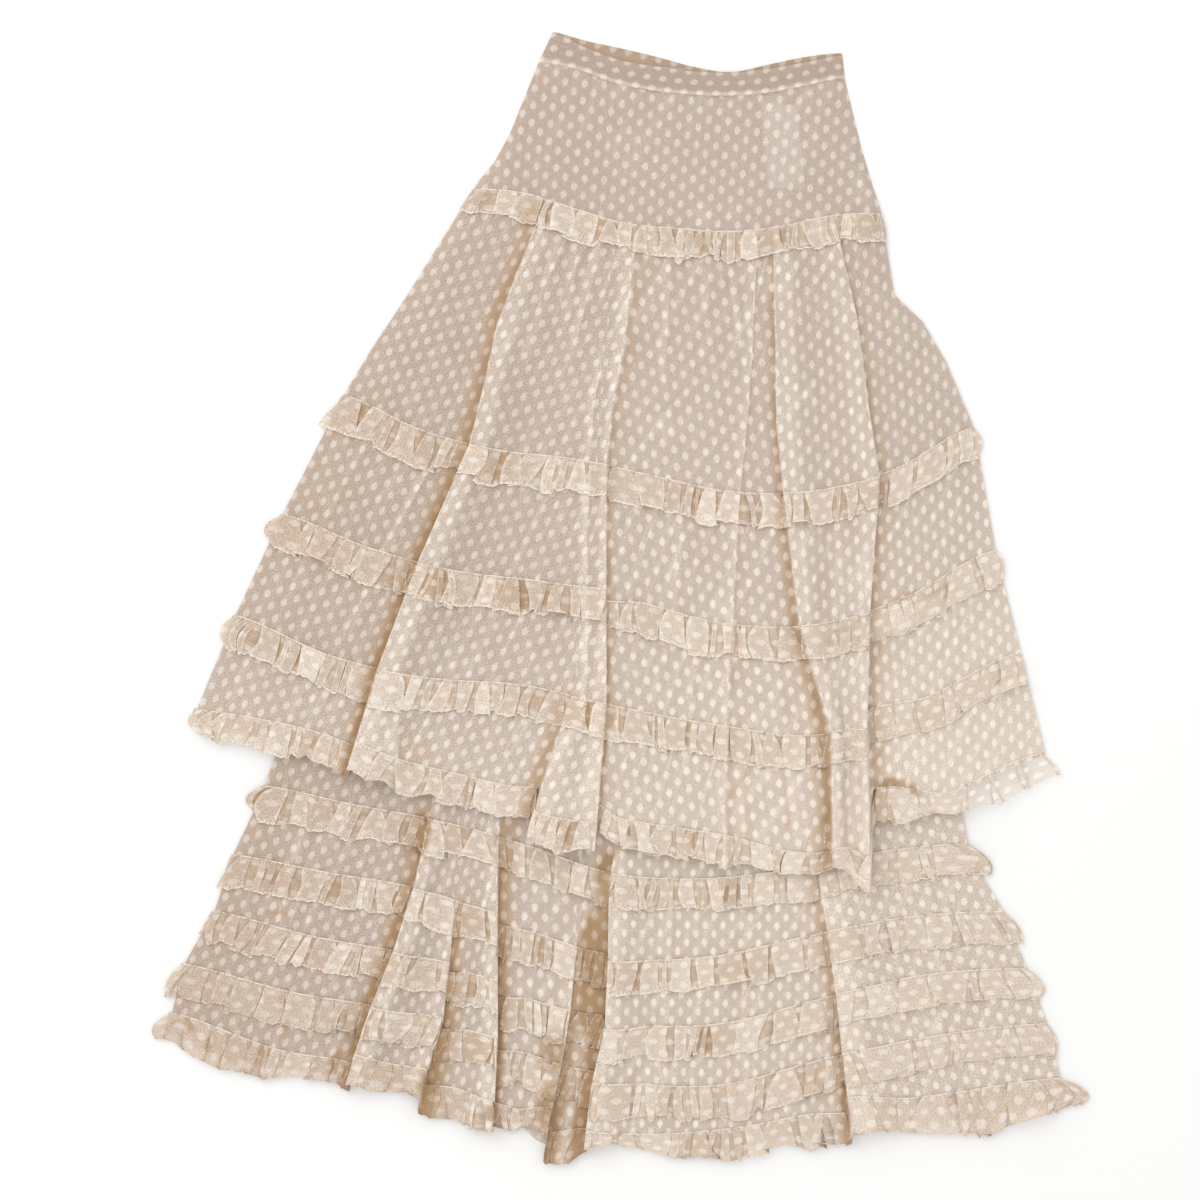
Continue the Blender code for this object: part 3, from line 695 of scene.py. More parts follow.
def net_group():
    tree = bpy.data.node_groups.new("spotted net", "ShaderNodeTree")
    for way, sockets in (
        ("INPUT", (("Thread", "Color"), ("Spot", "Color"), ("Cover", "Float"),
                   ("Spot strength", "Float"), ("Spot shrink", "Float"), ("Mottle", "Float"))),
        ("OUTPUT", (("Color", "Color"), ("Cover", "Float"), ("Height", "Float"))),
    ):
        for name, kind in sockets:
            tree.interface.new_socket(name=name, in_out=way, socket_type="NodeSocket" + kind)
    given = add_node(tree, "NodeGroupInput").outputs
    result = add_node(tree, "NodeGroupOutput").inputs

    def plus(a, b, clamp=False):
        return maths(tree, "ADD", a, b, clamp=clamp)

    def minus(a, b):
        return maths(tree, "SUBTRACT", a, b)

    def times(a, b):
        return maths(tree, "MULTIPLY", a, b)

    def larger(a, b, clamp=False):
        return maths(tree, "MAXIMUM", a, b, clamp=clamp)

    # turned by an eighth, the two staggered rows of spots become one square lattice
    uv = add_node(tree, "ShaderNodeUVMap", uv_map="weave").outputs[0]
    u, v = parted(tree, uv)[:2]
    turned = add_node(tree, "ShaderNodeCombineXYZ")
    link(tree, plus(u, v), turned.inputs[0])
    link(tree, minus(u, v), turned.inputs[1])
    lattice = turned.outputs[0]
    cell = vectors(tree, "FLOOR", vectors(tree, "ADD", lattice, (0.5, 0.5, 0.0)))
    p, q = parted(tree, vectors(tree, "SUBTRACT", lattice, cell))[:2]
    wide = maths(tree, "ABSOLUTE", plus(p, q))
    tall = maths(tree, "ABSOLUTE", minus(p, q))
    wide, tall = (times(size, given["Spot shrink"]) for size in (wide, tall))
    wide = maths(tree, "POWER", maths(tree, "DIVIDE", wide, 2 * SPOT_WIDE), 1.9)
    tall = maths(tree, "POWER", maths(tree, "DIVIDE", tall, 2 * SPOT_TALL), 1.5)
    spot = ranged(tree, plus(wide, tall), 1.35, 0.4)
    chance = add_node(tree, "ShaderNodeTexWhiteNoise", noise_dimensions="2D")
    link(tree, cell, chance.inputs["Vector"])
    spot = times(spot, ranged(tree, chance.outputs["Value"], 0.0, 1.0, 0.86, 1.0))
    marks = add_node(tree, "ShaderNodeAttribute", attribute_name="form", attribute_type="GEOMETRY")
    light, shade, edge = parted(tree, marks.outputs["Vector"])
    # spots are brighter in the painted light
    spot = times(spot, ranged(tree, light, 0.0, 0.6, 0.7, 1.0))
    spot = times(spot, given["Spot strength"])

    # the diamond holes of the net, and uneven threads; holes and thin places are tinted darker, painted
    # shade of the layers below
    angles = vectors(tree, "MULTIPLY", lattice, (MESHES * math.pi, MESHES * math.pi, 0.0))
    across, down = parted(tree, vectors(tree, "SINE", angles))[:2]
    hole = maths(tree, "ABSOLUTE", times(across, down))
    cloud = add_node(tree, "ShaderNodeTexNoise", noise_dimensions="2D")
    cloud.inputs["Scale"].default_value = MOTTLES
    cloud.inputs["Detail"].default_value = 2.0
    link(tree, uv, cloud.inputs["Vector"])
    mottle = ranged(tree, cloud.outputs[0], 0.3, 0.7)
    open_net = plus(times(hole, 0.5), times(mottle, given["Mottle"]), clamp=True)
    # the mottle also frays the bright edges
    edge = ranged(tree, minus(edge, times(mottle, 0.35)), 0.0, 0.6)

    # painted light and painted shade are mixed into the thread colour, and spots fade in the painted shade
    colour = blend_colour(tree, times(light, LIGHT_SHARE), given["Thread"], PAINTED_LIGHT_TINT)
    # painted shade of the layers seen through the open and thin places
    colour = blend_colour(tree, times(open_net, HOLE_SHARE), colour, HOLE_TINT, "MULTIPLY")
    colour = blend_colour(tree, times(shade, SHADE_SHARE), colour, PAINTED_SHADE_TINT)
    lit_spot = times(spot, minus(1.0, times(shade, 0.75)))
    colour = blend_colour(tree, lit_spot, colour, given["Spot"])
    link(tree, blend_colour(tree, edge, colour, EDGE_TINT), result["Color"])
    cover = minus(given["Cover"], times(open_net, OPEN_LOSS))
    cover = plus(plus(cover, times(light, LIGHT_GAIN)), times(shade, SHADE_GAIN))
    cover = larger(larger(cover, times(spot, 0.97)), times(edge, 0.95), clamp=True)
    link(tree, cover, result["Cover"])
    link(tree, minus(times(spot, 0.8), times(open_net, 0.4)), result["Height"])
    return tree


NET = net_group()
print("spotted net group:", len(NET.nodes), "nodes")

# %% [markdown]
# ## Materials
# All pieces are cut from the same net. The ruffles look creamier because their pleats
# double it, and the waistband looks darker and closer because it is sewn over a tape.
# A little sheen on the shader stands for the fine fuzz of the cotton spots.

# %% Net materials
def new_material(name):
    made = bpy.data.materials.new(name)
    made.use_nodes = True
    return made, made.node_tree, made.node_tree.nodes["Principled BSDF"]


def net_material(name, thread, spot, cover, spot_strength, mottle, shrink=1.0):
    made, tree, shader = new_material(name)
    net = add_node(tree, "ShaderNodeGroup", node_tree=NET)
    for socket, value in (("Thread", (*thread, 1.0)), ("Spot", (*spot, 1.0)), ("Cover", cover),
                          ("Spot strength", spot_strength), ("Mottle", mottle), ("Spot shrink", shrink)):
        net.inputs[socket].default_value = value
    bump = add_node(tree, "ShaderNodeBump")
    bump.inputs["Strength"].default_value = 0.35
    bump.inputs["Distance"].default_value = 0.0004          # metres, about the threads
    for source, target in ((net.outputs["Color"], shader.inputs["Base Color"]),
                           (net.outputs["Cover"], shader.inputs["Alpha"]),
                           (net.outputs["Height"], bump.inputs["Height"]),
                           (bump.outputs["Normal"], shader.inputs["Normal"])):
        tree.links.new(source, target)
    shader.inputs["Roughness"].default_value = 0.85
    shader.inputs["Sheen Weight"].default_value = 0.12
    shader.inputs["Sheen Roughness"].default_value = 0.6
    return made


SPOTTED = net_material("spotted net cloth", (0.70, 0.58, 0.50), (0.95, 0.88, 0.795),
                       cover=0.80, spot_strength=0.95, mottle=0.65, shrink=0.97)
RUFFLED = net_material("ruffle net cloth", (0.86, 0.71, 0.59), (0.98, 0.92, 0.84),
                       cover=0.72, spot_strength=0.85, mottle=0.6)
BANDED = net_material("waistband net cloth", (0.565, 0.45, 0.375), (0.90, 0.81, 0.72),
                      cover=0.92, spot_strength=0.85, mottle=0.5, shrink=1.05)
print("net materials:", SPOTTED.name, RUFFLED.name, BANDED.name)

# %% [markdown]
# ## The panels
# A panel is the cloth between two levels. Rows are spaced at given steps: close together
# where the cloth shows, far apart where another skirt covers it. Soft ripples start at
# each gathered seam and run out below it, and the net is a little lighter on them and
# darker between them. The yoke has hardly any.

# %% Rows, spots and gathers of a panel
def rows_between(skirt, first, last, step):
    """Row places from one level to another, about step millimetres apart."""
    top, bottom = skirt.names.index(first), skirt.names.index(last)
    rows = [float(top)]
    for k in range(top, bottom):
        tall = np.mean(skirt.levels[k].line) - np.mean(skirt.levels[k + 1].line)
        count = max(round(tall / step), 1)
        rows += [k + (i + 1) / count for i in range(count)]
    return np.array(rows)


def panel_weave(mesh, v, w, x, y, skirt, weaves):
    """Each face takes the weave of its own gore, and slips at every seam above it."""
    vertex, face = corners(mesh)
    gore = np.searchsorted(skirt.homes, w[face].mean(axis=1))
    level = np.floor(v[face].mean(axis=1)).astype(int)
    seams = np.cumsum(["seam" in name for name in skirt.names])
    u_all, v_all = np.zeros(len(vertex)), np.zeros(len(vertex))
    for g in np.unique(gore):
        for k in np.unique(level):
            here = (gore == g) & (level == k)
            phase = weaves[g].slip * (g + 0.37 * seams[k])
            u_all[here], v_all[here] = repeats(weaves[g], x[vertex[here]], y[vertex[here]], phase)
    corner_uv(mesh, u_all, v_all)


def below_gathers(skirt, v):
    """Millimetres below the last gathered seam, and that seam's number."""
    tall = np.array([np.mean(level.line) for level in skirt.levels])
    gathered = [k for k, name in enumerate(skirt.names) if "seam" in name or k == 0]
    seam = np.array(gathered)[np.searchsorted(gathered, v, side="right") - 1]
    return tall[seam] - np.interp(v, range(len(tall)), tall), seam


# %% Panel maker
SIDE_CALM = 0.04                        # share of the width beside a side seam that lies flat
GATHER_WIDE, GATHER_DEEP = 24, 0.7      # one soft gather across, and its height
GATHER_RUN = 40.0                       # how far down gathers fade


def front_panel(skirt, name, columns, rows, weaves, gathers, seed):
    mesh, column, row = grid_mesh(name, columns, rows)
    w, v = columns[column], rows[row]
    x, y = skirt.plan(v, w)
    z, lap, light, shade, line = front_cloth(skirt, v, w, x, y)
    inside = smooth(np.minimum(w, 1 - w) / SIDE_CALM)
    # a laid cloth is never quite flat: slow waves of about half a millimetre
    z += inside * (0.5 * ripple(x + 0.2 * y, seed, 70) + 0.35 * ripple(y - 0.1 * x, seed + 1, 120))
    # broad patches that carry painted light and painted shade
    patch = ripple(x + 0.4 * y, seed + 2, 150) * ripple(y - 0.3 * x, seed + 3, 190)
    below, seam = below_gathers(skirt, v)
    across = w * skirt.width(v) + 37.0 * seam               # so that each tier has its own
    fading = 0.3 + 0.7 * np.exp(-below / GATHER_RUN)
    streak = gathers * ripple(across, seed + 4, GATHER_WIDE, 5) * fading
    # painted light on the ripples and patches, and painted shade between them
    uneven = inside * (0.25 * patch + 0.6 * streak)
    light = np.clip(light + np.maximum(uneven, 0), 0, 1)
    shade = np.clip(shade + 0.6 * np.maximum(-uneven, 0), 0, 1)
    z += GATHER_DEEP * streak * inside
    panel_weave(mesh, v, w, x + lap, y, skirt, weaves)
    return finish_sheet(name, mesh, x + lap, y, z, SPOTTED, (light, shade, 0.75 * line))


def back_panel(skirt, name, columns, rows, weaves):
    mesh, column, row = grid_mesh(name, columns, rows)
    w, v = columns[column], rows[row]
    x, y = skirt.plan(v, w, back=True)
    z = back_height(skirt, v) + np.zeros_like(w)
    panel_weave(mesh, v, w, x, y, skirt, weaves)
    return finish_sheet(name, mesh, x, y, z, SPOTTED)


# %% Yoke, overskirt and underskirt
FINE, COARSE = 4.8, 14.0                # row steps on the front and on the back
HIDDEN, NEARLY, SHOWN = 30, 8, 3.6      # and on the underskirt, from its covered top down
COLUMN_STEP, BESIDE_FOLD = 4.2, 1.4     # column steps
yoke_columns = np.linspace(0, 1, 110)
wide_columns = front_columns(outer, COLUMN_STEP, BESIDE_FOLD)
under_columns = front_columns(inner, COLUMN_STEP, BESIDE_FOLD)
plain_columns = np.linspace(0, 1, 61)
yoke_weaves = (YOKE_WEAVE,) * (len(OUTER_FOLDS) + 1)
yoke, overskirt = ("waist_seam", "hip_seam"), ("hip_seam", "over_hem")
under_rows = np.concatenate([rows_between(inner, "under_top", "under_upper", HIDDEN),
                             rows_between(inner, "under_upper", "under_seam_1", NEARLY)[1:],
                             rows_between(inner, "under_seam_1", "under_hem", SHOWN)[1:]])
panels = {
    "yoke_front": front_panel(outer, "yoke_front", yoke_columns, rows_between(outer, *yoke, FINE),
                              yoke_weaves, 0.3, 11),
    "yoke_back": back_panel(outer, "yoke_back", plain_columns, rows_between(outer, *yoke, COARSE),
                            yoke_weaves),
    "overskirt_front": front_panel(outer, "overskirt_front", wide_columns,
                                   rows_between(outer, *overskirt, FINE), OUTER_WEAVES, 1.0, 21),
    "overskirt_back": back_panel(outer, "overskirt_back", plain_columns,
                                 rows_between(outer, *overskirt, COARSE), OUTER_WEAVES),
    "underskirt_front": front_panel(inner, "underskirt_front", under_columns, under_rows,
                                    INNER_WEAVES, 1.0, 31),
    "underskirt_back": back_panel(inner, "underskirt_back", plain_columns,
                                  rows_between(inner, "under_top", "under_hem", COARSE), INNER_WEAVES),
}
for name, piece in panels.items():
    print(name, len(piece.data.polygons), "faces")

# %% [markdown]
# ## The ruffles
# A ruffle is a narrow strip, half as long again as its seam, pushed together into small
# flutes and sewn down along its top. A flute has a flat top, two steep walls that tuck a
# little under it, and a narrow gap, painted dark with shade, to the next one. Its free
# edges are rolled and overcast, so the last rows of the grid go round in a tiny roll.
# Width, lean, height and drop differ from flute to flute, and now and then one curls up
# at its edge. Where a strip lies slack, its flutes are pressed flat.

# %% Flute shape
DROP, HEM_DROP = 34.0, 30.0             # height of a strip over a seam and at a hem
ROLL = 0.7                              # radius of a rolled edge
DOWN_ROWS = 13
# a column's light and shade are painted light and painted shade: light along the walls' top edges, shade at
# the tucked feet and in the gap
FluteColumn = namedtuple("FluteColumn", "side reach rise light shade line valley")
HALF_FLUTE = (                          # from its tucked left foot to the middle of its top
    (-1.0, 1.6, 0.02, 0.0, 0.6, 0.0, 0.0),
    (-1.0, 0.6, 0.25, 0.0, 0.5, 0.0, 0.0),
    (-1.0, -0.4, 0.62, 0.3, 0.1, 0.2, 0.0),
    (-1.0, -0.1, 0.93, 0.9, 0.0, 0.5, 0.0),
    (-0.84, 0.0, 1.0, 0.6, 0.0, 0.2, 0.0),
    (-0.6, 0.0, 0.98, 0.2, 0.0, 0.0, 0.0),
    (-0.3, 0.0, 0.95, 0.0, 0.0, 0.0, 0.0),
    (0.0, 0.0, 0.94, 0.0, 0.0, 0.0, 0.0),
)
MIRRORED = tuple((-side, -reach, *rest) for side, reach, *rest in HALF_FLUTE[-2::-1])
VALLEY = tuple((1.0, 0.0, 0.0, 0.0, 1.0, 0.0, share) for share in (0.2, 0.5, 0.8))
FLUTE = tuple(FluteColumn(*column) for column in HALF_FLUTE + MIRRORED + VALLEY)


def flute_columns(length, pitch, slack, rng):
    """Every column of a strip: place, half width, height and habits of its flute."""
    count = round(length / pitch)
    # one flute in five is narrow, slack ones are wide, and one gap in three stands open
    widths = rng.uniform(0.35, 1.6, count) * np.where(rng.uniform(size=count) < 0.2, 0.45, 1.0)
    widths *= 1 + 0.8 * slack(np.linspace(0, 1, count))
    widths *= length / widths.sum()
    open_wide = rng.uniform(size=count) < 0.35
    gaps = np.where(open_wide, rng.uniform(5, 12, count), rng.uniform(1.2, 4.0, count))
    gaps = np.minimum(gaps, 0.45 * widths)
    centre = np.cumsum(widths) - widths / 2
    habits = {
        "centre": centre,
        "half": (widths - gaps) / 2,
        "gap": gaps,
        "tall": rng.uniform(0.8, 2.4, count),
        "lean": rng.normal(0, 3.5, count),
        "flare": rng.normal(0.05, 0.2, count),
        "belly": rng.normal(0.0, 0.12, count),
        "sway": rng.normal(0.0, 1.5, count),
        "tilt": rng.normal(0, 0.25, count),
        "extra": rng.normal(0, 2.6, count),
        "bow": rng.normal(0.6, 1.4, count),
        "tone": rng.normal(0.1, 0.45, count),
        "depth": rng.uniform(0.6, 1.0, count),
        "curl": np.where(rng.uniform(size=count) < 0.04, rng.uniform(0.2, 0.5, count), 0.0),
    }
    flutes = {name: np.repeat(values, len(FLUTE)) for name, values in habits.items()}
    for i, name in enumerate(FluteColumn._fields):
        flutes[name] = np.tile([column[i] for column in FLUTE], count)
    in_valley = flutes["valley"] > 0
    flutes["reach"] = np.where(in_valley, flutes["gap"] * flutes["valley"], flutes["reach"])
    # painted shade in a gap: dark in narrow gaps, paler in the middle of wide ones
    middle = 1 - 2 * np.abs(flutes["valley"] - 0.5)
    fade = smooth((flutes["gap"] - 2.5) / 4.0) * mix(0.5, 0.85, middle)
    flutes["shade"] = np.where(in_valley, 1.0 - 0.65 * fade, flutes["shade"])
    return flutes


def strip_rows(drop):
    """Rows of a strip as (down, roll angle): a roll, the strip, a roll."""
    turns = np.radians((300, 240, 180, 120, 60))
    rows = [(0.0, -turn) for turn in turns]
    rows += [(d, 0.0) for d in np.linspace(0.0, drop, DOWN_ROWS)]
    rows += [(drop, turn) for turn in turns[::-1]]
    return np.array(rows)


print("one flute:", len(FLUTE), "columns,", len(strip_rows(DROP)), "rows")

# %% Places along and below a seam
def along_level(skirt, k):
    """Distance along a level for shares of the width, leaving out its jogs."""
    w = np.linspace(0, 1, 400)
    x, y = skirt.on_level(k, w, jogged=False)
    return np.concatenate([[0], np.cumsum(np.hypot(np.diff(x), np.diff(y)))]), w


def below_seam(skirt, k, w, down, back=False):
    """Plan place and level number of points below a seam."""
    last = len(skirt.levels) - 1
    other = k + 1 if k < last else k - 1
    x0, y0 = skirt.on_level(k, w, back)
    x1, y1 = skirt.on_level(other, w, back)
    length = np.hypot(x1 - x0, y1 - y0) * (1 if k < last else -1)
    return x0 + (x1 - x0) * down / length, y0 + (y1 - y0) * down / length, k + down / np.abs(length)


# %% [markdown]
# ## Laying a strip
# The strip is worked out in its own two directions, s along the seam and down from it.
# Then the skirt says where that place lies and how high its cloth is there, so a ruffle
# follows every fold below it. Painted light, painted shade and the bright overcast edges
# come last.

# %% Colour marks of a strip
TOP_LINE, LOW_LINE = 2.6, 3.0           # the bright threads of both edges, in mm
EDGE_BAND = 7.0                         # the lower edge is turned in and looks denser
BESIDE_BAND = 2.5                       # how softly those lines begin
THIN_FROM, THIN_OVER = 0.88, 0.04       # share of the length from where a strip may be thin


def bright_edges(ruffle, s, down, turn, slack, seed):
    """The overcast threads along the top and the lower edge of a strip."""
    rolled = np.clip(np.abs(turn) * 3, 0, 1)
    top_line = np.maximum(rolled * (turn < 0), smooth(1 - down / TOP_LINE) * (turn <= 0) * 0.9)
    top_line = top_line * (0.75 + 0.25 * ripple(s, seed + 10, 40))
    from_edge = down - ruffle.drop
    low_band = smooth((from_edge + EDGE_BAND) / BESIDE_BAND) * 0.45
    low_band = low_band + smooth((from_edge + LOW_LINE) / BESIDE_BAND) * 0.55
    frayed = 0.85 + 0.15 * ripple(s, seed + 9, 16)
    low_line = np.maximum(rolled * (turn > 0), low_band * (turn >= 0)) * frayed
    return np.clip(np.maximum(top_line, low_line * ruffle.rim * (1 - 0.5 * slack)), 0, 1)


def strip_marks(ruffle, f, s, down, share, slack, pale, edge, cloth_marks, seed):
    """Painted light, painted shade and edge of a strip, from its flutes and the cloth below."""
    light, shade, crest = cloth_marks
    painted_crumple_shading = 0.5 * ripple(s + 0.7 * down, seed + 11, 17, 3) * ripple(down - 0.3 * s, seed + 12, 23, 3)
    # where the cloth below is painted darker, the strip loses its painted light
    dull = 2 * np.maximum(-pale, 0)
    # a flute's tone and its crumples raise the painted light, and below zero the painted shade
    tone = f["tone"] * (1 - 0.5 * slack) + painted_crumple_shading + ruffle.tone - 0.5 * dull
    in_fold = np.clip(shade, 0, 1)
    lit = np.clip(f["light"] * 0.9 * (1 - 0.4 * slack) + tone, 0, 1)
    light = mix(0.9 * light, 1.0, lit) * (1 - in_fold) * (1 - dull)
    dark = 0.85 * f["shade"] * f["depth"] * (1 - 0.75 * slack) + np.clip(-tone, 0, 1) * 0.45
    edge = edge * (1 - 0.7 * in_fold)
    shade = np.clip(np.maximum(shade, dark), 0, 1) * (1 - edge)
    shade = shade - ruffle.thin * smooth((share - THIN_FROM) / THIN_OVER)
    edge = np.maximum(np.maximum(edge, f["line"] * (1 - 0.8 * slack)), 0.8 * crest)
    return light, shade, edge


# %% Strip maker
SPOTS_DOWN, SPOTS_ALONG = 21.5, 18.9    # one repeat of spots on a strip
SLACK_AT = (0.0, 0.35, 0.7, 0.82)       # shares of the length where slack is given
CURL_FROM = 0.58                        # share of the drop below which a flute may curl
END_REACH = 40                          # mm from its end over which a strip is drawn out


def front_ruffle(skirt, name, ruffle, seed):
    def slack_at(share):
        left, middle, right = ruffle.slack
        return np.interp(share, SLACK_AT, (left, middle, middle, right))

    rng = np.random.default_rng(seed)
    drop = ruffle.drop
    k = skirt.names.index(ruffle.level)
    along, shares = along_level(skirt, k)
    length = along[-1]
    flutes = flute_columns(length, ruffle.pitch, slack_at, rng)
    rows = strip_rows(drop)
    mesh, column, row = grid_mesh(name, np.arange(len(flutes["centre"])), rows)
    f = {key: value[column] for key, value in flutes.items()}
    down, turn = rows[row, 0], rows[row, 1]
    t = down / drop
    grow = mix(0.35, 1.0, smooth(down / 9.0))               # flutes open below the seam
    arc = np.sin(math.pi * t)
    spread = 1 + f["flare"] * (2 * t - 1) + f["belly"] * arc
    half = f["half"] * spread * mix(0.9, 1.0, smooth(down / 7.0))
    s = f["centre"] + f["lean"] * t + f["sway"] * arc + f["side"] * half + f["reach"] * grow
    for sign, from_end, (middle, low) in ((-1, s, ruffle.left), (1, length - s, ruffle.right)):
        jut = 4 * middle * t * (1 - t) + low * t * (2 * t - 1)
        reach = END_REACH + 1.6 * abs(low)
        s = s + sign * jut * smooth(1 - from_end / reach) ** 2
    share = s / length
    slack = slack_at(share)

    # height above the cloth, and how far below the seam, with the flutes' curls and rolls
    tall = f["tall"] * grow * mix(1.0, 0.9, t) * (1 - 0.7 * slack)
    lift = tall * f["rise"] * (1 + f["tilt"] * f["side"])
    plate = 1 - f["side"] ** 2
    lift = lift + np.maximum(f["bow"] * 0.35 * plate * t, -0.4 * tall)
    below = down + t ** 2 * (f["extra"] * (1 - 0.7 * slack) + f["bow"] * plate)
    below += t * 1.8 * ripple(s, seed + 5, 75) + t ** 4 * (1.1 - 0.6 * slack) * ripple(s, seed + 6, 9, 3)
    flat = CURL_FROM * drop
    bend = f["curl"] * math.pi * np.clip((down - flat) / (drop - flat), 0, 1)
    radius = (drop - flat) / (f["curl"] * math.pi + 1e-6)
    curled = (f["curl"] > 0) & (down > flat)
    below = np.where(curled, flat + radius * np.sin(bend), below)
    lift = np.where(curled, lift + radius * (1 - np.cos(bend)), lift)
    below = below * np.interp(share, *zip(*ruffle.trim)) + ROLL * np.sin(np.abs(turn)) * np.sign(turn)
    lift = lift + ROLL * (1 - np.cos(turn))

    # on to the skirt
    w = np.interp(s, along, shares) + (np.minimum(s, 0) + np.maximum(s - length, 0)) / length
    x, y, v = below_seam(skirt, k, w, below)
    inside, level = np.clip(w, 0, 1), np.minimum(v, len(skirt.levels) - 1)
    z, lap, *cloth_marks = front_cloth(skirt, level, inside, x, y)
    creased = ripple(s + 0.5 * down, seed + 13, 14, 3) * ripple(down - 0.4 * s, seed + 14, 19, 3)
    z = z + mix(1.0, 0.7, t) + lift + 0.9 * creased * t * np.minimum(f["rise"] + slack, 1)
    edge = bright_edges(ruffle, s, down, turn, slack, seed)
    pale = paleness(skirt, level, inside)
    marks = strip_marks(ruffle, f, s, down, share, slack, pale, edge, cloth_marks, seed)

    # the spots follow the strip as if it were pulled flat
    step = np.hypot(np.diff(flutes["centre"] + flutes["side"] * flutes["half"] + flutes["reach"]),
                    np.diff(flutes["rise"] * flutes["tall"]))
    cloth = np.concatenate([[0], np.cumsum(step)])
    point_uv(mesh, (down - drop + EDGE_BAND) / SPOTS_DOWN, cloth[column] / SPOTS_ALONG + 0.31 * seed)
    return finish_sheet(name, mesh, x + lap, y, z, RUFFLED, marks), cloth[-1] * MM


# %% Plain strips on the back
PRESSED, UNDER_BACK = 0.85, 1.3         # share of its drop, and mm below its panel
SPOTS_BACK = 12.0                       # spots stand closer where the strip is pushed together


def back_ruffle(skirt, name, ruffle):
    k = skirt.names.index(ruffle.level)
    columns, rows = np.linspace(-0.004, 1.0, 81), np.linspace(0, ruffle.drop, 5)
    mesh, column, row = grid_mesh(name, columns, rows)
    w = columns[column]
    down = rows[row] * PRESSED * np.interp(w, *zip(*ruffle.back_trim))
    x, y, v = below_seam(skirt, k, w, down, back=True)
    z = back_height(skirt, np.minimum(v, len(skirt.levels) - 1)) - UNDER_BACK
    point_uv(mesh, down / SPOTS_DOWN, x / SPOTS_BACK)
    piece = finish_sheet(name, mesh, x, y, z, RUFFLED)
    return piece, down.max() * MM, down[row == row.max()].mean() * MM


# %% Ruffle tables
# pitch: the usual width of a flute
# left and right: how far that end sticks out, half way down and at its lower edge
# slack: how flat the flutes lie at the left, in the middle and at the right
# rim: how bright the lower edge is; tone: above zero the strip is lighter
# thin: how much more shows through where one layer lies over the bare table
# trim: how much of its drop the strip has, at shares of its length
Ruffle = namedtuple("Ruffle", "name level drop pitch left right slack rim tone thin trim back_trim",
                    defaults=(((0.0, 1.0), (1.0, 1.0)),) * 2)
OVER_HEM_TRIM = (
    (0.0, 1.0), (0.6, 1.0), (0.7, 0.75), (0.74, 0.55), (0.77, 1.1), (0.81, 1.15), (0.86, 0.7),
    (0.9, 0.75), (0.94, 1.15), (0.975, 1.0), (1.0, 0.8),
)
BACK_HEM_TRIM = (
    (0.0, 0.7), (0.1, 0.8), (0.2, 1.0), (0.75, 0.9), (0.82, 0.4), (0.87, 0.1), (1.0, 0.1),
)
UNDER_HEM_TRIM = (
    (0.0, 0.9), (0.03, 1.15), (0.06, 1.25), (0.1, 1.1), (0.13, 0.95), (0.17, 0.8), (0.19, 0.75),
    (0.22, 1.1), (0.27, 0.85), (0.31, 1.15), (0.34, 1.15), (0.38, 0.8), (0.41, 0.65), (0.43, 1.0),
    (0.46, 1.15), (0.48, 0.65), (0.51, 0.35), (0.54, 0.5), (0.57, 0.8), (0.61, 0.95), (0.64, 1.1),
    (0.66, 0.95), (0.69, 0.95), (0.73, 1.1), (0.78, 1.25), (0.83, 1.2), (0.9, 1.6), (0.95, 1.5),
    (0.98, 1.3), (1.0, 0.9),
)
OUTER_RUFFLES = tuple(Ruffle(*row) for row in (
    ("ruffle_hip", "hip_seam", DROP - 5, 16, (2, -4), (3, 2), (0.0, 0.0, 0.2), 0.9, 0.0, 0.0),
    ("ruffle_over_1", "over_seam_1", DROP, 19, (8, 6), (3, -3), (0.0, 0.0, 0.3), 0.9, 0.0, 0.0),
    ("ruffle_over_2", "over_seam_2", DROP, 19, (18, 0), (1, -6), (0.1, 0.1, 0.8), 0.9, 0.0, 0.0),
    ("ruffle_over_3", "over_seam_3", DROP, 19, (13, 2), (0, -6), (0.1, 0.1, 0.8), 0.9, 0.0, 0.0),
    ("ruffle_over_hem", "over_hem", HEM_DROP, 19, (11, -10), (5, 4), (0.3, 0.2, 0.8), 0.8, 0.0, 0.9,
     OVER_HEM_TRIM, BACK_HEM_TRIM),
))
INNER_RUFFLES = tuple(Ruffle(*row) for row in (
    ("ruffle_under_1", "under_seam_1", DROP, 19, (17, 4), (17, 12), (0.1, 0.1, 0.7), 0.9, 0.0, 0.0),
    ("ruffle_under_2", "under_seam_2", DROP, 19, (5, 4), (3, -4), (0.1, 0.1, 0.7), 0.9, 0.0, 0.0),
    ("ruffle_under_3", "under_seam_3", DROP, 19, (3, -6), (11, 2), (0.2, 0.1, 0.7), 0.8, 0.0, 0.0),
    ("ruffle_under_4", "under_seam_4", DROP, 19, (13, 15), (6, 4), (0.4, 0.2, 0.8), 0.6, 0.0, 0.0),
    ("ruffle_under_hem", "under_hem", HEM_DROP, 19, (18, 12), (22, 8), (0.7, 0.5, 0.9), 0.35, -0.2, 0.0,
     UNDER_HEM_TRIM, UNDER_HEM_TRIM),
))
print("ruffles:", len(OUTER_RUFFLES), "on the overskirt,", len(INNER_RUFFLES), "on the underskirt")

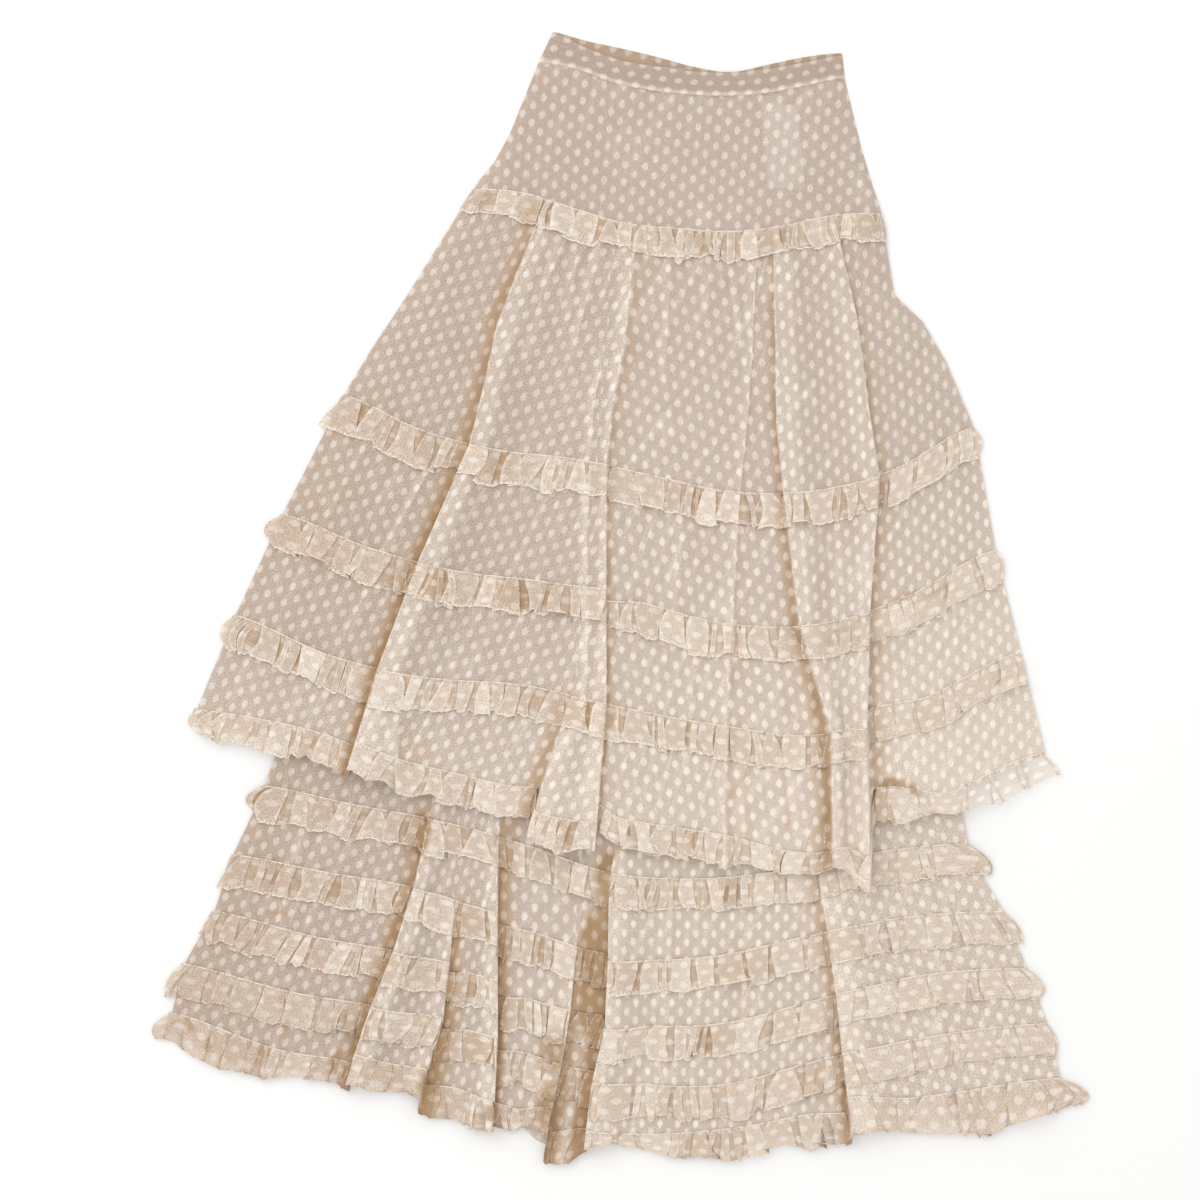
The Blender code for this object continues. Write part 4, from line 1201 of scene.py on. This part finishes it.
# %% Ten ruffles, front and back
front_ruffles, back_ruffles = {}, {}
for skirt, ruffles in ((outer, OUTER_RUFFLES), (inner, INNER_RUFFLES)):
    for ruffle in ruffles:
        name, back_name = ruffle.name + "_front", ruffle.name + "_back"
        front_ruffles[name] = front_ruffle(skirt, name, ruffle, 40 + len(front_ruffles))
        back_ruffles[back_name] = back_ruffle(skirt, back_name, ruffle)
for name, (piece, cut) in front_ruffles.items():
    print(name, len(piece.data.polygons), "faces, strip", round(cut, 2), "m")

# %% [markdown]
# ## Waistband
# The waistband is the same net, cut crosswise and doubled over a tape, so its spots lie
# on their sides. Its lower seam shows as a paler line. The back's top lies a few
# millimetres above the front's, so its inside shows there, with painted shade from the front.

# %% Waistband front and back
BAND_TALL, BAND_LONG = 26.0, 320        # of the doubled strip
BAND_SPOTS = 17.0                       # one repeat of spots along it


def band(name, rows, back):
    columns = np.linspace(0, 1, 120)
    mesh, column, row = grid_mesh(name, columns, rows)
    w, v = columns[column], rows[row]
    x, y = outer.plan(v, w, back)
    z = np.full_like(x, 0.75) if back else front_cloth(outer, v, w, x, y)[0] + 0.25
    down = v * BAND_TALL
    hem = smooth((down - 21.0) / 2.5) * smooth((27 - down) / 2)     # the pale line of the seam
    point_uv(mesh, down / SPOTS_DOWN - 0.06, outer.across(0, w) * BAND_LONG / BAND_SPOTS)
    # painted shade along the top: the inside is darker where the front shades it
    most, reach = (0.55, 16.0) if back else (0.1, 3.0)      # the inside is shaded by the front
    shade = most * (1 - smooth(down / reach)) + np.zeros_like(z)
    return finish_sheet(name, mesh, x, y, z, BANDED, (0.5 * hem, shade, 0.1 * hem))


waist_front = band("waistband_front", np.linspace(0, 1, 15), False)
waist_back = band("waistband_back", np.linspace(0, 1, 9), True)
print("waistband", BAND_LONG, "by", BAND_TALL, "mm")

# %% [markdown]
# ## Labels
# A satin care label hangs inside the back of the yoke and shows through the net, and a
# small one is sewn in at the waist. Both are left blank.

# %% Blank labels
def mottled_material(name, low, high, scale, roughness):
    """A plain finish that wavers between two colours."""
    made, tree, shader = new_material(name)
    place = add_node(tree, "ShaderNodeTexCoord")
    noise = add_node(tree, "ShaderNodeTexNoise")
    noise.inputs["Scale"].default_value = scale
    tree.links.new(place.outputs["Object"], noise.inputs["Vector"])
    colour = blend_colour(tree, noise.outputs[0], (*low, 1.0), (*high, 1.0))
    tree.links.new(colour, shader.inputs["Base Color"])
    shader.inputs["Roughness"].default_value = roughness
    return made


SATIN = mottled_material("label satin tape", (0.90, 0.87, 0.85), (0.97, 0.95, 0.93), 900.0, 0.5)
WOVEN = mottled_material("grey woven tape", (0.36, 0.34, 0.33), (0.44, 0.42, 0.40), 900.0, 0.5)
Label = namedtuple("Label", "name left top wide tall lean over finish")
LABELS = (
    Label("care_label", 84, 533, 40, 89, 0.17, 1.8, SATIN),
    Label("waist_label", -20, 562, 24, 13, 0.0, 2.3, WOVEN),
)
for spec in LABELS:
    columns, rows = np.linspace(0, 1, 9), np.linspace(0, 1, 15)
    mesh, column, row = grid_mesh(spec.name, columns, rows)
    down = rows[row] * spec.tall
    x = spec.left + columns[column] * spec.wide + down * spec.lean
    z = spec.over + 0.15 * np.sin(columns[column] * math.pi) + 0.1 * ripple(down, 3, 60)
    finish_sheet(spec.name, mesh, x, spec.top - down, z, spec.finish)
    print(spec.name, "blank,", spec.wide, "by", spec.tall, "mm")

# %% [markdown]
# ## Slots and sheets
# A ruffle's cut is the length of its strip with every flute pulled flat.

# %% [markdown]
# ## Table, light and camera
# The skirt lies on a plain white table under a bright, even sky and one large soft light
# from the upper left, and the camera looks straight down.

# %% Stage
bm = bmesh.new()
bmesh.ops.create_grid(bm, x_segments=1, y_segments=1, size=4.0)
mesh = bpy.data.meshes.new("table")
bm.to_mesh(mesh)
bm.free()
table = bpy.data.objects.new("table", mesh)
mesh.materials.append(mottled_material("white table", (0.955,) * 3, (0.97,) * 3, 3.0, 0.9))
bpy.context.scene.collection.objects.link(table)
print("table", [round(side, 1) for side in table.dimensions[:2]], "m")

# %% Sky and soft light
world = bpy.data.worlds.new("studio")
bpy.context.scene.world = world
world.use_nodes = True
sky = world.node_tree.nodes["Background"].inputs
sky["Color"].default_value = (1.0, 0.995, 0.985, 1.0)
sky["Strength"].default_value = 0.92
LIGHT_PLACE = (-1.9, 1.3, 2.3)
lamp_data = bpy.data.lights.new("softbox", "AREA")
lamp_data.shape = "DISK"
lamp_data.size = 2.4
lamp_data.energy = 27.0
lamp = bpy.data.objects.new("softbox", lamp_data)
lamp.location = LIGHT_PLACE
bpy.context.scene.collection.objects.link(lamp)
lamp.rotation_euler = (-Vector(LIGHT_PLACE)).to_track_quat("-Z", "Y").to_euler()
bpy.context.scene.view_settings.view_transform = "Standard"
print("soft light", lamp_data.size, "m wide,", lamp_data.energy, "W")

# %% Camera
TURN = math.radians(4.6)                # so that the skirt lies a little askew
FRAME_WIDE = 1.26                       # metres of table from side to side of the view
LENS, SENSOR = 85.0, 36.0
MIDDLE = (-0.0582, -0.0001, 0.010)      # the place the camera looks straight down on
camera_data = bpy.data.cameras.new("camera")
camera_data.lens, camera_data.sensor_width = LENS, SENSOR
camera = bpy.data.objects.new("camera", camera_data)
camera.location = (MIDDLE[0], MIDDLE[1], MIDDLE[2] + FRAME_WIDE * LENS / SENSOR)
camera.rotation_euler = (0.0, 0.0, TURN)
bpy.context.scene.collection.objects.link(camera)
bpy.context.scene.camera = camera
print("camera", round(camera.location.z, 2), "m above the table")
